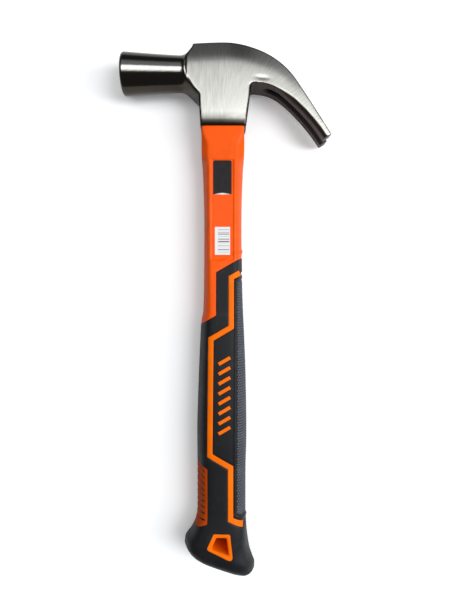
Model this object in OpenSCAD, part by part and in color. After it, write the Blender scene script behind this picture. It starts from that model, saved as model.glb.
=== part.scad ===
// Claw hammer with a forged steel head and a moulded handle on a fibreglass core.
// The hammer lies on its side: +Y runs up the handle to the head, +X points to the claw,
// -X to the striking face, and Z is the thickness. The modules below use a working frame
// with the handle's axis on X = 0, the eye's lower edge on Y = 0 and mid-thickness on Z = 0.

/* [Head] */
// Lower edge of the eye to the top of the head
head_h = 51.6; // [48:0.2:60]
// Handle axis to the striking face
face_reach = 63.7; // [56:0.1:76]
// Handle axis to the tip of the claw
claw_reach = 66.5; // [60:0.1:78]
// Thickness across the two cheeks
cheek_t = 21.6; // [20:0.2:26]
// Thickness across the head's narrower top
crown_t = 15.4; // [14.6:0.2:19]
// Width of the eye block at its lower edge
socket_w = 29.2; // [28:0.2:34]
// Width of the eye block at its shoulders
shoulder_w = 34.6; // [31:0.2:38]
// Height of the shoulders above the lower edge
shoulder_h = 18.6; // [14:0.2:20]

/* [Poll] */
// Diameter of the striking face's rim
poll_d = 26.2; // [24:0.2:28]
// Diameter of the neck between rim and eye block
neck_d = 22; // [18:0.2:23]
// Height of the poll's axis above the eye's lower edge
poll_h = 35.3; // [34.6:0.1:36.4]
// Chamfer round the striking face
face_chamfer = 1.2; // [0.6:0.1:2]

/* [Claw] */
// Radius of the arc along the claw's top
claw_r = 51; // [46:0.5:54]
// Angle that the top arc turns through before it runs straight
claw_turn = 58; // [54:0.5:62]
// Depth of the claw where it leaves the eye block
claw_root_t = 20; // [17:0.2:21]
// Thickness of the claw at its blunt tips
claw_tip_t = 4.2; // [3:0.1:5]
// Width of the claw at its root
claw_root_w = 18.8; // [16:0.2:21]
// Width of the claw at its tip
claw_tip_w = 22; // [20:0.2:27]
// Angle round the top arc where the nail slot begins
slot_turn = 48; // [44:0.5:52]
// Width of the nail slot at its closed end
slot_root_w = 4.8; // [4.6:0.1:6]
// Width of the nail slot at the tip
slot_tip_w = 5.8; // [5.4:0.1:8]

/* [Core and eye] */
// Width of the fibreglass core
core_w = 17; // [14:0.2:18]
// Thickness of the fibreglass core
core_t = 9; // [7:0.2:9.4]
// Thickness of the resin round the core in the eye
resin_wall = 1.2; // [0.8:0.1:1.6]
// Depth of the resin's top below the top of the head
resin_sink = 0.8; // [0.2:0.1:3]
// Resin that covers the core's end
resin_cap = 1.2; // [0.8:0.1:4]
// Distance from the core's lower end to the handle's lower end
core_short = 42; // [38:1:80]

/* [Handle] */
// Length of the handle below the head
handle_len = 278; // [272:1:300]
// Width of the jacket at the head
collar_w = 27.2; // [26:0.2:28]
// Width of the jacket at its waist
waist_w = 24; // [22.6:0.2:26]
// Thickness of the jacket
jacket_t = 18.4; // [17.6:0.2:20]
// Width of the grip at its belly
belly_w = 31.5; // [29:0.2:36]
// Thickness of the grip at its belly
belly_t = 25.6; // [24:0.2:30]
// Reach of the heel, towards the striking face
heel_reach = 24; // [21:0.2:30]
// Reach of the toe, towards the claw
toe_reach = 19.4; // [17:0.2:24]
// Thickness of the butt
butt_t = 28.4; // [27:0.2:34]
// Thickness of the soft grip over the jacket
grip_wall = 2.2; // [1.8:0.1:2.6]

/* [Grip inlays] */
// Angle of every slanted edge of the grip's pattern
slant = 30; // [24:1:34]
// Width of the coloured stripes
stripe_w = 3.4; // [2.4:0.1:4.4]
// Depth of the pockets that hold the inlays
inlay_depth = 1.4; // [1:0.1:1.6]
// Height of the stripes and bars above the grip
inlay_proud = 0.3; // [0.2:0.05:0.6]
// Distance of the palm strip's edge from the handle axis
palm_edge = 9.2; // [8:0.1:10.4]
// Groove round the palm strip
palm_groove = 0.5; // [0.3:0.1:0.8]
// Distance of the finger pad's edge from the handle axis
pad_edge = 8.9; // [8:0.1:10.4]
// Ribs on the finger pad
pad_ribs = 9; // [5:1:11]
// Distance from one raised bar to the next
bar_pitch = 6; // [5:0.1:9]
// Length of a raised bar
bar_len = 8.4; // [6:0.2:9]
// Width of a raised bar
bar_w = 2.4; // [1.6:0.1:3]

/* [Hanging hole] */
// Distance from the handle's lower end to the hanging hole's centre
hole_up = 21.6; // [19:0.1:23]
// Width of the hanging hole
hole_w = 8.6; // [8:0.1:10]
// Height of the hanging hole
hole_h = 10.6; // [8.6:0.1:11.4]
// Wall of the liner in the hanging hole
liner_wall = 2.6; // [1.6:0.1:3]

/* [Label] */
// Width of the label
label_w = 11.3; // [9:0.1:12]
// Length of the label
label_len = 59; // [50:1:60]
// Thickness of the label
label_t = 0.2; // [0.1:0.05:0.3]
// Distance from the head to the label's upper edge
label_at = 21.4; // [20:0.2:23]
// Depth of the label's recess under the jacket's face
recess_depth = 0.6; // [0.4:0.1:0.9]

/* [Hidden] */

steel = "silver";
orange = "orangered";
light_orange = "darkorange";
black = "dimgray";

eye_w = core_w + 2 * resin_wall;
eye_t = core_t + 2 * resin_wall;
resin_top = head_h - resin_sink;
core_top = resin_top - resin_cap;
core_len = handle_len - core_short;
far = 60;                 // longer than any piece that a cutter goes through
fine = 48;                // facets on a full round

// ---- outlines --------------------------------------------------------------------------

// Points of an arc from angle a to angle b
function arc(centre, r, a, b, n = 12) =
    [for (i = [0:n]) let (t = a + (b - a) * i / n) centre + r * [cos(t), sin(t)]];

// Unit vector that leans right of straight up by an angle
function lean(t) = [sin(t), cos(t)];

// The claw's top line: an arc from level to claw_turn, then straight to the tip
claw_from = 2.4;
arc_centre = [claw_from, head_h - claw_r];
arc_end = arc_centre + claw_r * lean(claw_turn);
straight_len = (claw_reach - arc_end[0]) / cos(claw_turn);
root_turn = 35;
crown_turn = 4;           // where the eye block's top gives way to the arc
arc_len = claw_r * (claw_turn - root_turn) * PI / 180;
claw_len = arc_len + straight_len;

// Angle, top point and thickness at a distance along the claw from its root
function claw_angle(s) = min(claw_turn, root_turn + s / claw_r * 180 / PI);
function claw_top(s) = s < arc_len ? arc_centre + claw_r * lean(claw_angle(s))
    : arc_end + (s - arc_len) * [cos(claw_turn), -sin(claw_turn)];
taper = 1.65;
function claw_thick(s) = claw_tip_t + (claw_root_t - claw_tip_t) * pow(1 - s / claw_len, taper);
function claw_under(s) = claw_top(s) - claw_thick(s) * lean(claw_angle(s));

claw_steps = 14;
claw_outline = concat(
    [[claw_from, poll_h], [claw_from, head_h]],
    arc(arc_centre, claw_r, 90 - crown_turn, 90 - root_turn, 8),
    [for (i = [1:claw_steps]) claw_top(claw_len * i / claw_steps)],
    [for (i = [claw_steps:-1:0]) claw_under(claw_len * i / claw_steps)],
    [[shoulder_w / 2, claw_under(0)[1] - 0.9]]);

neck_r = neck_d / 2;
poll_r = poll_d / 2;
neck_fillet = 2.6;
block_back = shoulder_w / 2 + 4.5;     // where the eye block meets the neck
block_outline = [
    [-socket_w / 2, 0], [socket_w / 2, 0], [shoulder_w / 2 - 0.3, shoulder_h],
    [shoulder_w / 2, claw_under(0)[1]], [claw_from + 8, head_h - 0.8], [claw_from, head_h],
    [-shoulder_w / 2 - 1.4, head_h], [-block_back, poll_h + neck_r + neck_fillet],
    [-block_back, poll_h - neck_r - neck_fillet], [-shoulder_w / 2, shoulder_h]];

// Thickness of the head seen along the poll: level cheeks, a narrower crown and lower edge
edge_t = cheek_t - 2.4;
crown_drop = 14;          // from the head's top to the level cheeks
cheek_top = head_h - crown_drop;
front_outline = [
    [-edge_t / 2, 0], [-cheek_t / 2, 3.6], [-cheek_t / 2, cheek_top],
    [-cheek_t / 2 + 0.6, head_h - 7], [-crown_t / 2, head_h],
    [crown_t / 2, head_h], [cheek_t / 2 - 0.6, head_h - 7], [cheek_t / 2, cheek_top],
    [cheek_t / 2, 3.6], [edge_t / 2, 0]];
claw_front_outline = concat(
    [[-claw_tip_w / 2, -far], [-claw_tip_w / 2, cheek_top]],
    [for (i = [3:6]) front_outline[i]],
    [[claw_tip_w / 2, cheek_top], [claw_tip_w / 2, -far]]);

// Plan of the head along X: (x, half thickness)
neck_plan_t = 12;
claw_waist = 14;          // where the claw begins to widen, from the eye block
plan_outline = [
    [-block_back, neck_plan_t / 2], [-shoulder_w / 2 + 1, cheek_t / 2],
    [claw_from, cheek_t / 2], [shoulder_w / 2, claw_root_w / 2],
    [shoulder_w / 2 + claw_waist, claw_root_w / 2], [claw_reach + 1, claw_tip_w / 2]];

module along_x(depth) rotate([90, 0, 90]) linear_extrude(depth, center = true) children();
module along_y(low, high)
    translate([0, high, 0]) rotate([90, 0, 0]) linear_extrude(high - low) children();
module mirrored_plan(points) {
    polygon(concat(points, [for (i = [len(points) - 1:-1:0]) [points[i][0], -points[i][1]]]));
}
module stadium(w, t) {
    square([w - t, t], center = true);
    for (side = [-1, 1]) translate([side * (w - t) / 2, 0]) circle(d = t, $fn = fine);
}

// ---- head ------------------------------------------------------------------------------

bell = 1.25;
bell_steps = 6;
bell_from = 27;
bell_to = face_reach - 3;
poll_profile = concat(
    [[0, claw_from + 10], [neck_r, claw_from + 10]],
    [for (i = [0:bell_steps]) let (u = i / bell_steps)
        [neck_r + (poll_r - neck_r) * pow(u, bell), bell_from + (bell_to - bell_from) * u]],
    [[poll_r, face_reach - face_chamfer], [poll_r - face_chamfer, face_reach],
     [0, face_reach]]);

module poll()
    translate([0, poll_h, 0]) rotate([0, -90, 0]) rotate_extrude($fn = 96) polygon(poll_profile);

module eye_block()
    intersection() {
        linear_extrude(cheek_t, center = true) polygon(block_outline);
        along_x(2 * far) polygon([for (p = front_outline) [p[1], p[0]]]);
        along_y(-1, head_h + 1) mirrored_plan(plan_outline);
    }

module claw()
    intersection() {
        linear_extrude(claw_tip_w, center = true) polygon(claw_outline);
        along_x(4 * far) polygon([for (p = claw_front_outline) [p[1], p[0]]]);
        along_y(-far, head_h + 1) mirrored_plan(plan_outline);
    }

slot_s = claw_r * (slot_turn - root_turn) * PI / 180;
slot_len = claw_len - slot_s + 4;
module nail_slot()
    translate(concat(claw_top(slot_s), 0)) rotate([0, 0, -slot_turn])
        along_y(-claw_thick(slot_s) - 8, 8) {
            circle(d = slot_root_w, $fn = fine);
            mirrored_plan([[0, slot_root_w / 2], [slot_len, slot_tip_w / 2]]);
        }

module head()
    color(steel) difference() {
        union() {
            poll();
            eye_block();
            claw();
        }
        along_y(-1, head_h + 1) stadium(eye_w, eye_t);
        nail_slot();
    }

// ---- core and resin ----------------------------------------------------------------------

module fibreglass_core()
    color("khaki") along_y(-core_len, core_top) stadium(core_w, core_t);

module eye_resin()
    color("goldenrod") difference() {
        along_y(0, resin_top) stadium(eye_w, eye_t);
        along_y(-1, core_top) stadium(core_w, core_t);
    }

// ---- the handle's outer form ---------------------------------------------------------------

grip_from = 88;             // where the soft grip begins on the flat of the handle
lip_at = 118;               // where the grip's edge crosses the face side
butt_len = 41;              // from the flare to the lower end
small_up = 23;              // from the grip's small to the flare
belly_up = 24;              // from the grip's belly to its small
flare_at = handle_len - butt_len;
small_at = flare_at - small_up;
belly_at = small_at - belly_up;
heel_at = handle_len - butt_len / 2 - 0.5;
face_share = 0.525;         // share of the grip's width on the side of the striking face
small_w = belly_w - 1.1;
// How far the rounded lower end draws in: heel, toe and thickness, at its edge and at its end
edge_in = [18.6, 0.6, 3.6];
end_in = [28, 5, 7];

// Each station: distance below the head, reach to the face side, reach to the claw side,
// half thickness, and how square the section is
stations = [
    [0, -collar_w / 2, collar_w / 2, jacket_t / 2, 3.4],
    [12, -collar_w / 2 - 0.15, collar_w / 2 + 0.15, jacket_t / 2, 3.4],
    [26, -waist_w / 2 - 0.9, waist_w / 2 + 0.9, jacket_t / 2, 3.4],
    [60, -waist_w / 2, waist_w / 2, jacket_t / 2, 3.4],
    [grip_from, -waist_w / 2 - 0.1, waist_w / 2 + 0.4, jacket_t / 2 + 0.4, 3.2],
    [lip_at - 4, -waist_w / 2 - 0.6, waist_w / 2 + 0.8, jacket_t / 2 + 1.5, 3],
    [lip_at + 2, -waist_w / 2 - 1.8, waist_w / 2 + 1, jacket_t / 2 + 1.8, 2.8],
    [belly_at, -belly_w * face_share, belly_w * (1 - face_share), belly_t / 2, 2.6],
    [small_at, -small_w * face_share, small_w * (1 - face_share), belly_t / 2 - 0.3, 2.6],
    [flare_at, -small_w * face_share, small_w * (1 - face_share), belly_t / 2, 2.6],
    [flare_at + 8, -heel_reach + 6.4, toe_reach - 4.8, butt_t / 2 - 0.8, 2.8],
    [heel_at - 2, -heel_reach, toe_reach - 3.8, butt_t / 2, 3],
    [heel_at + 4, -heel_reach + 0.6, toe_reach - 2.4, butt_t / 2, 3],
    [heel_at + 10, -heel_reach + 4.6, toe_reach - 1.2, butt_t / 2 - 0.4, 3],
    [handle_len - 6.5, -heel_reach + 11.4, toe_reach - 0.2, butt_t / 2 - 1.4, 3],
    [handle_len - 3, -heel_reach + edge_in[0], toe_reach - edge_in[1], butt_t / 2 - edge_in[2], 3],
    [handle_len, -heel_reach + end_in[0], toe_reach - end_in[1], butt_t / 2 - end_in[2], 3]];

last = len(stations) - 1;
function span_of(d) = max([for (i = [0:last - 1]) if (stations[i][0] <= d || i == 0) i]);
function slope_at(i, k) = i == 0 || i == last ? 0
    : let (before = stations[i][k] - stations[i - 1][k], after = stations[i + 1][k] - stations[i][k])
      before * after <= 0 ? 0 : (before + after) / (stations[i + 1][0] - stations[i - 1][0]);

// Value k at distance d: a smooth curve through the stations that never overshoots them
function at(d, k) =
    let (i = span_of(d), low = stations[i], high = stations[i + 1], h = high[0] - low[0],
         u = max(0, min(1, (d - low[0]) / h)), v = 1 - u,
         straight = (high[k] - low[k]) / h,
         first = min(abs(slope_at(i, k)), 3 * abs(straight)) * sign(straight),
         second = min(abs(slope_at(i + 1, k)), 3 * abs(straight)) * sign(straight))
    low[k] * v * v * (1 + 2 * u) + high[k] * u * u * (3 - 2 * u)
    + h * u * v * (first * v - second * u);

// Ring of points round the handle at distance d, grown outwards by g
ring_n = 32;
function power(x, e) = sign(x) * pow(abs(x), e);
function ring(d, g) =
    let (left = at(d, 1) - g, right = at(d, 2) + g, thick = at(d, 3) + g, e = 2 / at(d, 4),
         mid = (left + right) / 2, half = (right - left) / 2)
    [for (i = [0:ring_n - 1]) let (a = 360 * i / ring_n)
        [mid + half * power(cos(a), e), -d, thick * power(sin(a), e)]];

// Body between two rings
module between(a, b, g) {
    points = concat(ring(a, g), ring(b, g));
    sides = [for (i = [0:ring_n - 1]) let (j = (i + 1) % ring_n)
        [i, j, j + ring_n, i + ring_n]];
    ends = [[for (i = [ring_n - 1:-1:0]) i], [for (i = [0:ring_n - 1]) i + ring_n]];
    hull() polyhedron(points, concat(sides, ends));
}

// The handle's form from distance a to distance b, in about even steps, grown by g
module form(a, b, g = 0, step = 6) {
    n = max(2, ceil((b - a) / step));
    for (i = [0:n - 1]) between(a + (b - a) * i / n, a + (b - a) * (i + 1) / n, g);
}
butt_step = 2.4;
module butt_form(low, g = 0) form(flare_at, low, g, butt_step);

// ---- the grip's pattern, seen from the side --------------------------------------------

fall = tan(slant);
module through(low = -far, high = far)
    translate([0, 0, low]) linear_extrude(high - low) children();

// Edge between the jacket and the soft grip, as a zigzag
edge_x = -4;
edge_turn = lip_at - 1.6;
module grip_area()
    polygon([[far, -grip_from - 2 + (far - edge_x) * fall], [edge_x, -grip_from - 2],
             [edge_x, -edge_turn], [-far, -edge_turn - (far + edge_x) * fall],
             [-far, -2 * handle_len], [far, -2 * handle_len]]);

// Stripe as a mitred band along its centre line
stripe_high_x = 5.5;
stripe_low_x = -7.3;
stripe_rise = 12.6;         // from the grip's small up to the stripe's lower bend
stripe_drop = (stripe_high_x - stripe_low_x) * fall;
stripe_line = [
    [10.9, -grip_from - 2.2], [stripe_high_x, -grip_from - 2.2 - (10.9 - stripe_high_x) * fall],
    [stripe_high_x, -lip_at - 5.5], [stripe_low_x, -lip_at - 5.5 - stripe_drop],
    [stripe_low_x - 0.3, -small_at + stripe_rise], [4.9, -small_at + stripe_rise - stripe_drop],
    [4.9, -flare_at - 3], [12.8, -flare_at - 9.1]];

function unit(v) = v / norm(v);
function side_step(line, i) =
    let (n = len(line) - 1,
         back = i == 0 ? unit(line[1] - line[0]) : unit(line[i] - line[i - 1]),
         ahead = i == n ? unit(line[n] - line[n - 1]) : unit(line[i + 1] - line[i]),
         m = unit([-back[1] - ahead[1], back[0] + ahead[0]]))
    m / (m * [-ahead[1], ahead[0]]);
function offset_line(line, w) = [for (i = [0:len(line) - 1]) line[i] + w * side_step(line, i)];
function reversed(list) = [for (i = [len(list) - 1:-1:0]) list[i]];
module stripe_area(w)
    polygon(concat(offset_line(stripe_line, w / 2), reversed(offset_line(stripe_line, -w / 2))));

end_fall = 0.73 * fall;     // the pads' ends slant less than the stripes
module palm_area(groove = 0) {
    left = palm_edge - groove;
    top = -grip_from - 7.6 + groove;
    low = -flare_at - groove;
    polygon([[left, top], [far, top + (far - left) * fall],
             [far, low - (far - left) * end_fall], [left, low]]);
}

pad_from = small_at - 4.3;
pad_to = flare_at + 6;
module pad_area()
    polygon([[-pad_edge, -pad_from], [-far, -pad_from + (far - pad_edge) * end_fall],
             [-far, -pad_to - (far - pad_edge) * end_fall], [-pad_edge, -pad_to]]);

bars_below_lip = 26;
bars_above_small = 28;
bars_x = 1.2;
bar_count = 1 + floor((small_at - bars_above_small - lip_at - bars_below_lip) / bar_pitch);
module bars_area()
    for (i = [0:bar_count - 1])
        translate([bars_x, -lip_at - bars_below_lip - bar_pitch * i])
            rotate(slant) square([bar_len, bar_w], center = true);

// Hanging hole: a rounded four-sided outline, level on top and slanting below
hole_round = 1.2;
hole_shift = 1.4;
hole_centre = [-hole_shift, hole_up - handle_len];
module hole_area(grow = 0)
    translate(hole_centre) offset(r = hole_round + grow, $fn = 32) offset(delta = -hole_round)
        polygon([[-hole_w * 0.33, hole_h / 2], [hole_w * 0.5, hole_h / 2],
                 [hole_w * 0.58, -hole_h / 2], [-hole_w * 0.58, -hole_h * 0.03]]);

// ---- handle pieces -------------------------------------------------------------------------

label_seat = jacket_t / 2 - recess_depth;
recess_play = 0.3;
module label_outline(play = 0)
    translate([-label_w / 2 - play, -label_at - label_len - play])
        square([label_w + 2 * play, label_len + 2 * play]);

jacket_end = handle_len - 8;
overlap_run = 14;           // jacket that runs on under the soft grip, past its edge
cutter_run = 6;             // what a cutter reaches beyond the piece that it cuts
pad_run = 13;               // grip skin that the pad and the stripe follow past the flare
module handle_jacket()
    color(orange) difference() {
        union() {
            difference() {
                form(0, lip_at + overlap_run);
                through() grip_area();
            }
            form(grip_from - overlap_run, flare_at, -grip_wall);
            butt_form(jacket_end, -grip_wall);
        }
        along_y(-core_len, 1) stadium(core_w, core_t);
        through(label_seat, far) label_outline(recess_play);
        through() hole_area(liner_wall);
    }

module inlay_areas() {
    stripe_area(stripe_w);
    bars_area();
    pad_area();
    palm_area(palm_groove);
}

module soft_grip()
    color(black) difference() {
        intersection() {
            union() {
                form(grip_from - overlap_run, flare_at);
                butt_form(handle_len);
            }
            through() grip_area();
        }
        form(grip_from - overlap_run - cutter_run, flare_at, -grip_wall);
        butt_form(jacket_end, -grip_wall);
        difference() {
            through() inlay_areas();
            form(grip_from - overlap_run - cutter_run, flare_at, -inlay_depth);
            butt_form(flare_at + pad_run, -inlay_depth);
        }
        through() hole_area(liner_wall);
    }

// A layer of the grip's skin, from inlay_depth under it to a height over it
module skin_layer(proud, low = -far, high = far)
    difference() {
        intersection() {
            union() {
                form(grip_from - overlap_run, flare_at, proud);
                butt_form(flare_at + pad_run, proud);
            }
            through(low, high) children();
        }
        form(grip_from - overlap_run - cutter_run, flare_at, -inlay_depth);
        butt_form(flare_at + pad_run + cutter_run, -inlay_depth);
    }

module near_stripe() color(light_orange) skin_layer(inlay_proud, 0, far) stripe_area(stripe_w);
module far_stripe() color(light_orange) skin_layer(inlay_proud, -far, 0) stripe_area(stripe_w);
module grip_bars() color(light_orange) skin_layer(inlay_proud) bars_area();

pad_rim = 1.6;
rib_gap = 0.9;
rib_depth = 0.7;
rib_first = 3;
rib_pitch = (pad_to - pad_from - rib_first - 1) / pad_ribs;
module finger_pad()
    color(orange) difference() {
        skin_layer(0) pad_area();
        difference() {
            for (i = [0:pad_ribs - 1])
                translate([-far, -pad_from - rib_first - rib_pitch * i - rib_gap / 2, -far])
                    cube([far - pad_edge - pad_rim, rib_gap, 2 * far]);
            form(small_at - pad_run, flare_at, -rib_depth);
            butt_form(flare_at + pad_run, -rib_depth);
        }
    }

module palm_strip() color("gray") skin_layer(0) palm_area();

module hang_hole_liner()
    color(light_orange) through(-butt_t / 2, butt_t / 2) difference() {
        hole_area(liner_wall);
        hole_area();
    }

module label()
    color("white") through(label_seat, label_seat + label_t) label_outline();

// ---- assembly: the origin is the middle of the lowest face of the whole hammer's box --------

shift = [(face_reach - claw_reach) / 2, (handle_len - head_h) / 2, butt_t / 2];
translate(shift) {
    head();
    eye_resin();
    fibreglass_core();
    handle_jacket();
    soft_grip();
    near_stripe();
    far_stripe();
    grip_bars();
    finger_pad();
    palm_strip();
    hang_hole_liner();
    label();
}
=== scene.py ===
# %% [markdown]
# # A claw hammer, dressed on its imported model
# The hammer lies on its side: +Y runs up the handle to the head, +X points to the claw, and Z
# is the thickness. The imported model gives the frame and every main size; the pieces below
# give the shapes that only show from close by, and the finishes.

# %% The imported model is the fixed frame
import math

import bpy
import numpy as np
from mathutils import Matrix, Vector


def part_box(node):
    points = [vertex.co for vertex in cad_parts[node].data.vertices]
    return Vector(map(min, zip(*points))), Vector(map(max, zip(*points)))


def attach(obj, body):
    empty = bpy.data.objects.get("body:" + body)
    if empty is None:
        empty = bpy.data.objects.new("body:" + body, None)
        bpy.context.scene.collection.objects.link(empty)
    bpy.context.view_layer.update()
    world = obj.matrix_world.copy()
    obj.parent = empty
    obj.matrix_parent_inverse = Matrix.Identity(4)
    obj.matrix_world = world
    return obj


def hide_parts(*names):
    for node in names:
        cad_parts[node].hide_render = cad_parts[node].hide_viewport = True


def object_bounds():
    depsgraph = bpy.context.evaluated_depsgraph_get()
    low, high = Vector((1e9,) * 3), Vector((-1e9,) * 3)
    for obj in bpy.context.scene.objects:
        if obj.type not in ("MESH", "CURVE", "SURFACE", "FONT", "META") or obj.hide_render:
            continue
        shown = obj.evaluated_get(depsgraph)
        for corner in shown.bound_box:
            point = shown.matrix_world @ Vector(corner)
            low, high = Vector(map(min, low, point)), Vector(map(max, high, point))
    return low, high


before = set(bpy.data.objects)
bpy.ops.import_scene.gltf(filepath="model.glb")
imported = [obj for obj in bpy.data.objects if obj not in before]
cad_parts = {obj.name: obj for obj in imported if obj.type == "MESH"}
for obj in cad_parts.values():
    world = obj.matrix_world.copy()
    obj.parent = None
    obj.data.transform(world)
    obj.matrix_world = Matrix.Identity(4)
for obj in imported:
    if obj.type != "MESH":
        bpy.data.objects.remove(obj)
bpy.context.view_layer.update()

print("nodes:", ", ".join(sorted(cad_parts)))

# %% [markdown]
# ## Where things are
# A toolmaker measures a hammer from its handle's axis and from the lower edge of the eye. The
# packed core and resin give both, so all sizes below are millimetres from that corner: x to the
# claw, y up the handle, z towards the near side.

# %% Handle axis, eye's lower edge and mid-thickness
def span(node):
    """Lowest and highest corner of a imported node, in millimetres."""
    low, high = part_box(node)
    return np.array(low) * 1000.0, np.array(high) * 1000.0


core_low, core_high = span("fibreglass_core")
resin_low, resin_high = span("eye_resin")
zero = np.array([(core_low[0] + core_high[0]) / 2, resin_low[1], (core_low[2] + core_high[2]) / 2])


def local_span(node):
    """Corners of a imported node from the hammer's own corner, in millimetres."""
    low, high = span(node)
    return low - zero, high - zero


head_low, head_high = local_span("head")
handle_low = local_span("soft_grip")[0]
print("working corner at", zero.round(2), "mm; head", head_low.round(1), head_high.round(1))

# %% [markdown]
# ## Making pieces
# Blender can take a mesh as plain lists, or as whole arrays at once, which is much quicker for
# tens of thousands of points. Every piece below ends as an array of points and an array of
# faces, nearly all of them four-sided, so one helper puts all of them into Blender.

# %% A soft step, used all over
def smooth_step(low, high, x):
    """0 below low, 1 above high, and a soft S between them: 3t^2 - 2t^3."""
    t = np.clip((x - low) / (high - low), 0.0, 1.0)
    return t * t * (3.0 - 2.0 * t)


print("soft step at a quarter, a half and three quarters:", smooth_step(0, 4, np.arange(1, 4)).round(3))


# %% One helper that turns arrays into a piece
def make_piece(name, points, faces, slot, node=None, crease=40.0, marks=None):
    """A mesh object riding on the one body of the hammer; the slot argument is not used."""
    mesh = bpy.data.meshes.new(name)
    placed = (np.asarray(points, float) + zero) / 1000.0
    blocks = [faces] if isinstance(faces, np.ndarray) else faces
    mesh.from_pydata(placed, [], [face for block in blocks for face in block.tolist()])
    for mark, values in (marks or {}).items():
        values = np.ascontiguousarray(values, np.float32)
        wide = values.ndim == 2
        layer = mesh.attributes.new(mark, "FLOAT_VECTOR" if wide else "FLOAT", "POINT")
        layer.data.foreach_set("vector" if wide else "value", values.ravel())
    mesh.shade_smooth()
    mesh.set_sharp_from_angle(angle=math.radians(crease))
    piece = bpy.data.objects.new(name, mesh)
    bpy.context.scene.collection.objects.link(piece)
    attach(piece, "root")
    if node:
        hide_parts(*([node] if isinstance(node, str) else node))
    print(f"{name}: {len(points)} points, {len(mesh.polygons)} faces")
    return piece


# %% [markdown]
# ## The head: what it is
# A claw hammer's head is forged from one bar. The poll ends in the striking face, the eye block
# takes the handle, and the claw sweeps down to two tines with a nail slot between them. Then the
# cheeks, the crown and the poll are ground, while the underside of the claw keeps its forge scale.
#
# It could be a subdivision cage, or a few lofted grids. But the poll flows into the block, flat
# grinding cuts through that flow in an arc, and the slot leaves a ring of edges, so no single
# grid of two parameters covers it. Here the head is a distance field instead: a function that
# is negative inside the steel. Grinding is then what it is in the shop, taking the lower of two
# surfaces, and a fillet is a smooth minimum.

# %% Fields and their smooth joins
def soft_max(a, b, k):
    """The larger of two fields, rounded where they are within k of each other."""
    h = np.maximum(k - np.abs(a - b), 0.0)
    return np.maximum(a, b) + h * h / (4.0 * k)


def soft_min(a, b, k):
    """The smaller of two fields, with a fillet where they are within k of each other."""
    return -soft_max(-a, -b, k)


def soft_ramp(u, k):
    """Zero below 0 and u above 0, with a bend about k long: (u + sqrt(u^2 + k^2)) / 2."""
    return (u + np.sqrt(u * u + k * k)) / 2.0


def lean(angle):
    """Unit vector that leans to the claw from straight up by an angle in degrees."""
    a = np.radians(angle)
    return np.stack([np.sin(a), np.cos(a)], -1)


print("fillet where two fields are both 0:", soft_max(0.0, 0.0, 1.0), "deep")


# %% Outlines: rounded corners, and the distance to an outline
ARC_STEPS = 6                         # points on each rounded corner


def round_corners(corners, steps=ARC_STEPS):
    """Closed outline from rows of x, y, radius: each corner becomes a parabola that ends where an
    arc of that radius would, (1-u)^2 start + 2u(1-u) corner + u^2 end."""
    at = np.array(corners, float)
    here, back, ahead = at[:, :2], np.roll(at[:, :2], 1, 0), np.roll(at[:, :2], -1, 0)
    a = (back - here) / np.linalg.norm(back - here, axis=1, keepdims=True)
    b = (ahead - here) / np.linalg.norm(ahead - here, axis=1, keepdims=True)
    half = np.arccos(np.clip((a * b).sum(1), -1, 1)) / 2
    cut = (at[:, 2] / np.tan(half))[:, None, None]
    u = np.linspace(0, 1, steps)[None, :, None]
    start, end = here[:, None] + a[:, None] * cut, here[:, None] + b[:, None] * cut
    bend = (1 - u) ** 2 * start + 2 * u * (1 - u) * here[:, None] + u ** 2 * end
    return bend.reshape(-1, 2)


def outline_distance(x, y, outline):
    """Distance to a closed outline, negative inside: nearest edge, and crossings for the side."""
    nearest = np.full(x.shape, 1e9)
    inside = np.zeros(x.shape, bool)
    for (ax, ay), (bx, by) in zip(outline, np.roll(outline, -1, 0)):
        ex, ey = bx - ax, by - ay
        along = np.clip(((x - ax) * ex + (y - ay) * ey) / (ex * ex + ey * ey + 1e-12), 0, 1)
        nearest = np.minimum(nearest, (x - ax - along * ex) ** 2 + (y - ay - along * ey) ** 2)
        if ay != by:
            inside ^= ((ay > y) != (by > y)) & (x < ax + (y - ay) * ex / ey)
    return np.where(inside, -1.0, 1.0) * np.sqrt(nearest)


square = round_corners([[0, 0, 1], [4, 0, 1], [4, 4, 1], [0, 4, 1]])
middle = np.array([2.0])
print("from the middle of a 4 mm square to its edge:", outline_distance(middle, middle, square))

# %% The claw's sweep and the side outline
TOP = head_high[1]                    # top of the head
CHEEK = 10.8                          # half thickness across the cheeks
ARC_R, ARC_TURN, ROOT_TURN = 51.0, 58.0, 35.0
ARC_C = np.array([2.4, TOP - ARC_R])
ARC_END = ARC_C + ARC_R * lean(ARC_TURN)
STRAIGHT_WAY = np.array([1, -1]) * lean(ARC_TURN)[::-1]   # direction of the claw past its arc
STRAIGHT = (head_high[0] - ARC_END[0]) / STRAIGHT_WAY[0]
ARC_LEN = ARC_R * math.radians(ARC_TURN - ROOT_TURN)
CLAW_LEN = ARC_LEN + STRAIGHT
TIP_DEPTH, ROOT_DEPTH = 5.0, 20.0     # the claw's thickness at its tips and at its root
ROOT_S = ARC_C[0] + ARC_R * math.radians(ROOT_TURN)     # length along the top line to the root


def claw_depth(s):
    """Thickness at distance s from the claw's root: it falls as (1 - s/length)^1.85 to a blunt tip."""
    return TIP_DEPTH + (ROOT_DEPTH - TIP_DEPTH) * np.clip(1 - s / CLAW_LEN, 0, 1) ** 1.85


def claw_top(s):
    """Top line: an arc, then straight. Gives points and the angle of the line's normal."""
    turn = np.minimum(ARC_TURN, ROOT_TURN + np.degrees(s / ARC_R))
    on_arc = ARC_C + ARC_R * lean(turn)
    return on_arc + np.maximum(s - ARC_LEN, 0)[:, None] * STRAIGHT_WAY, turn


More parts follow.
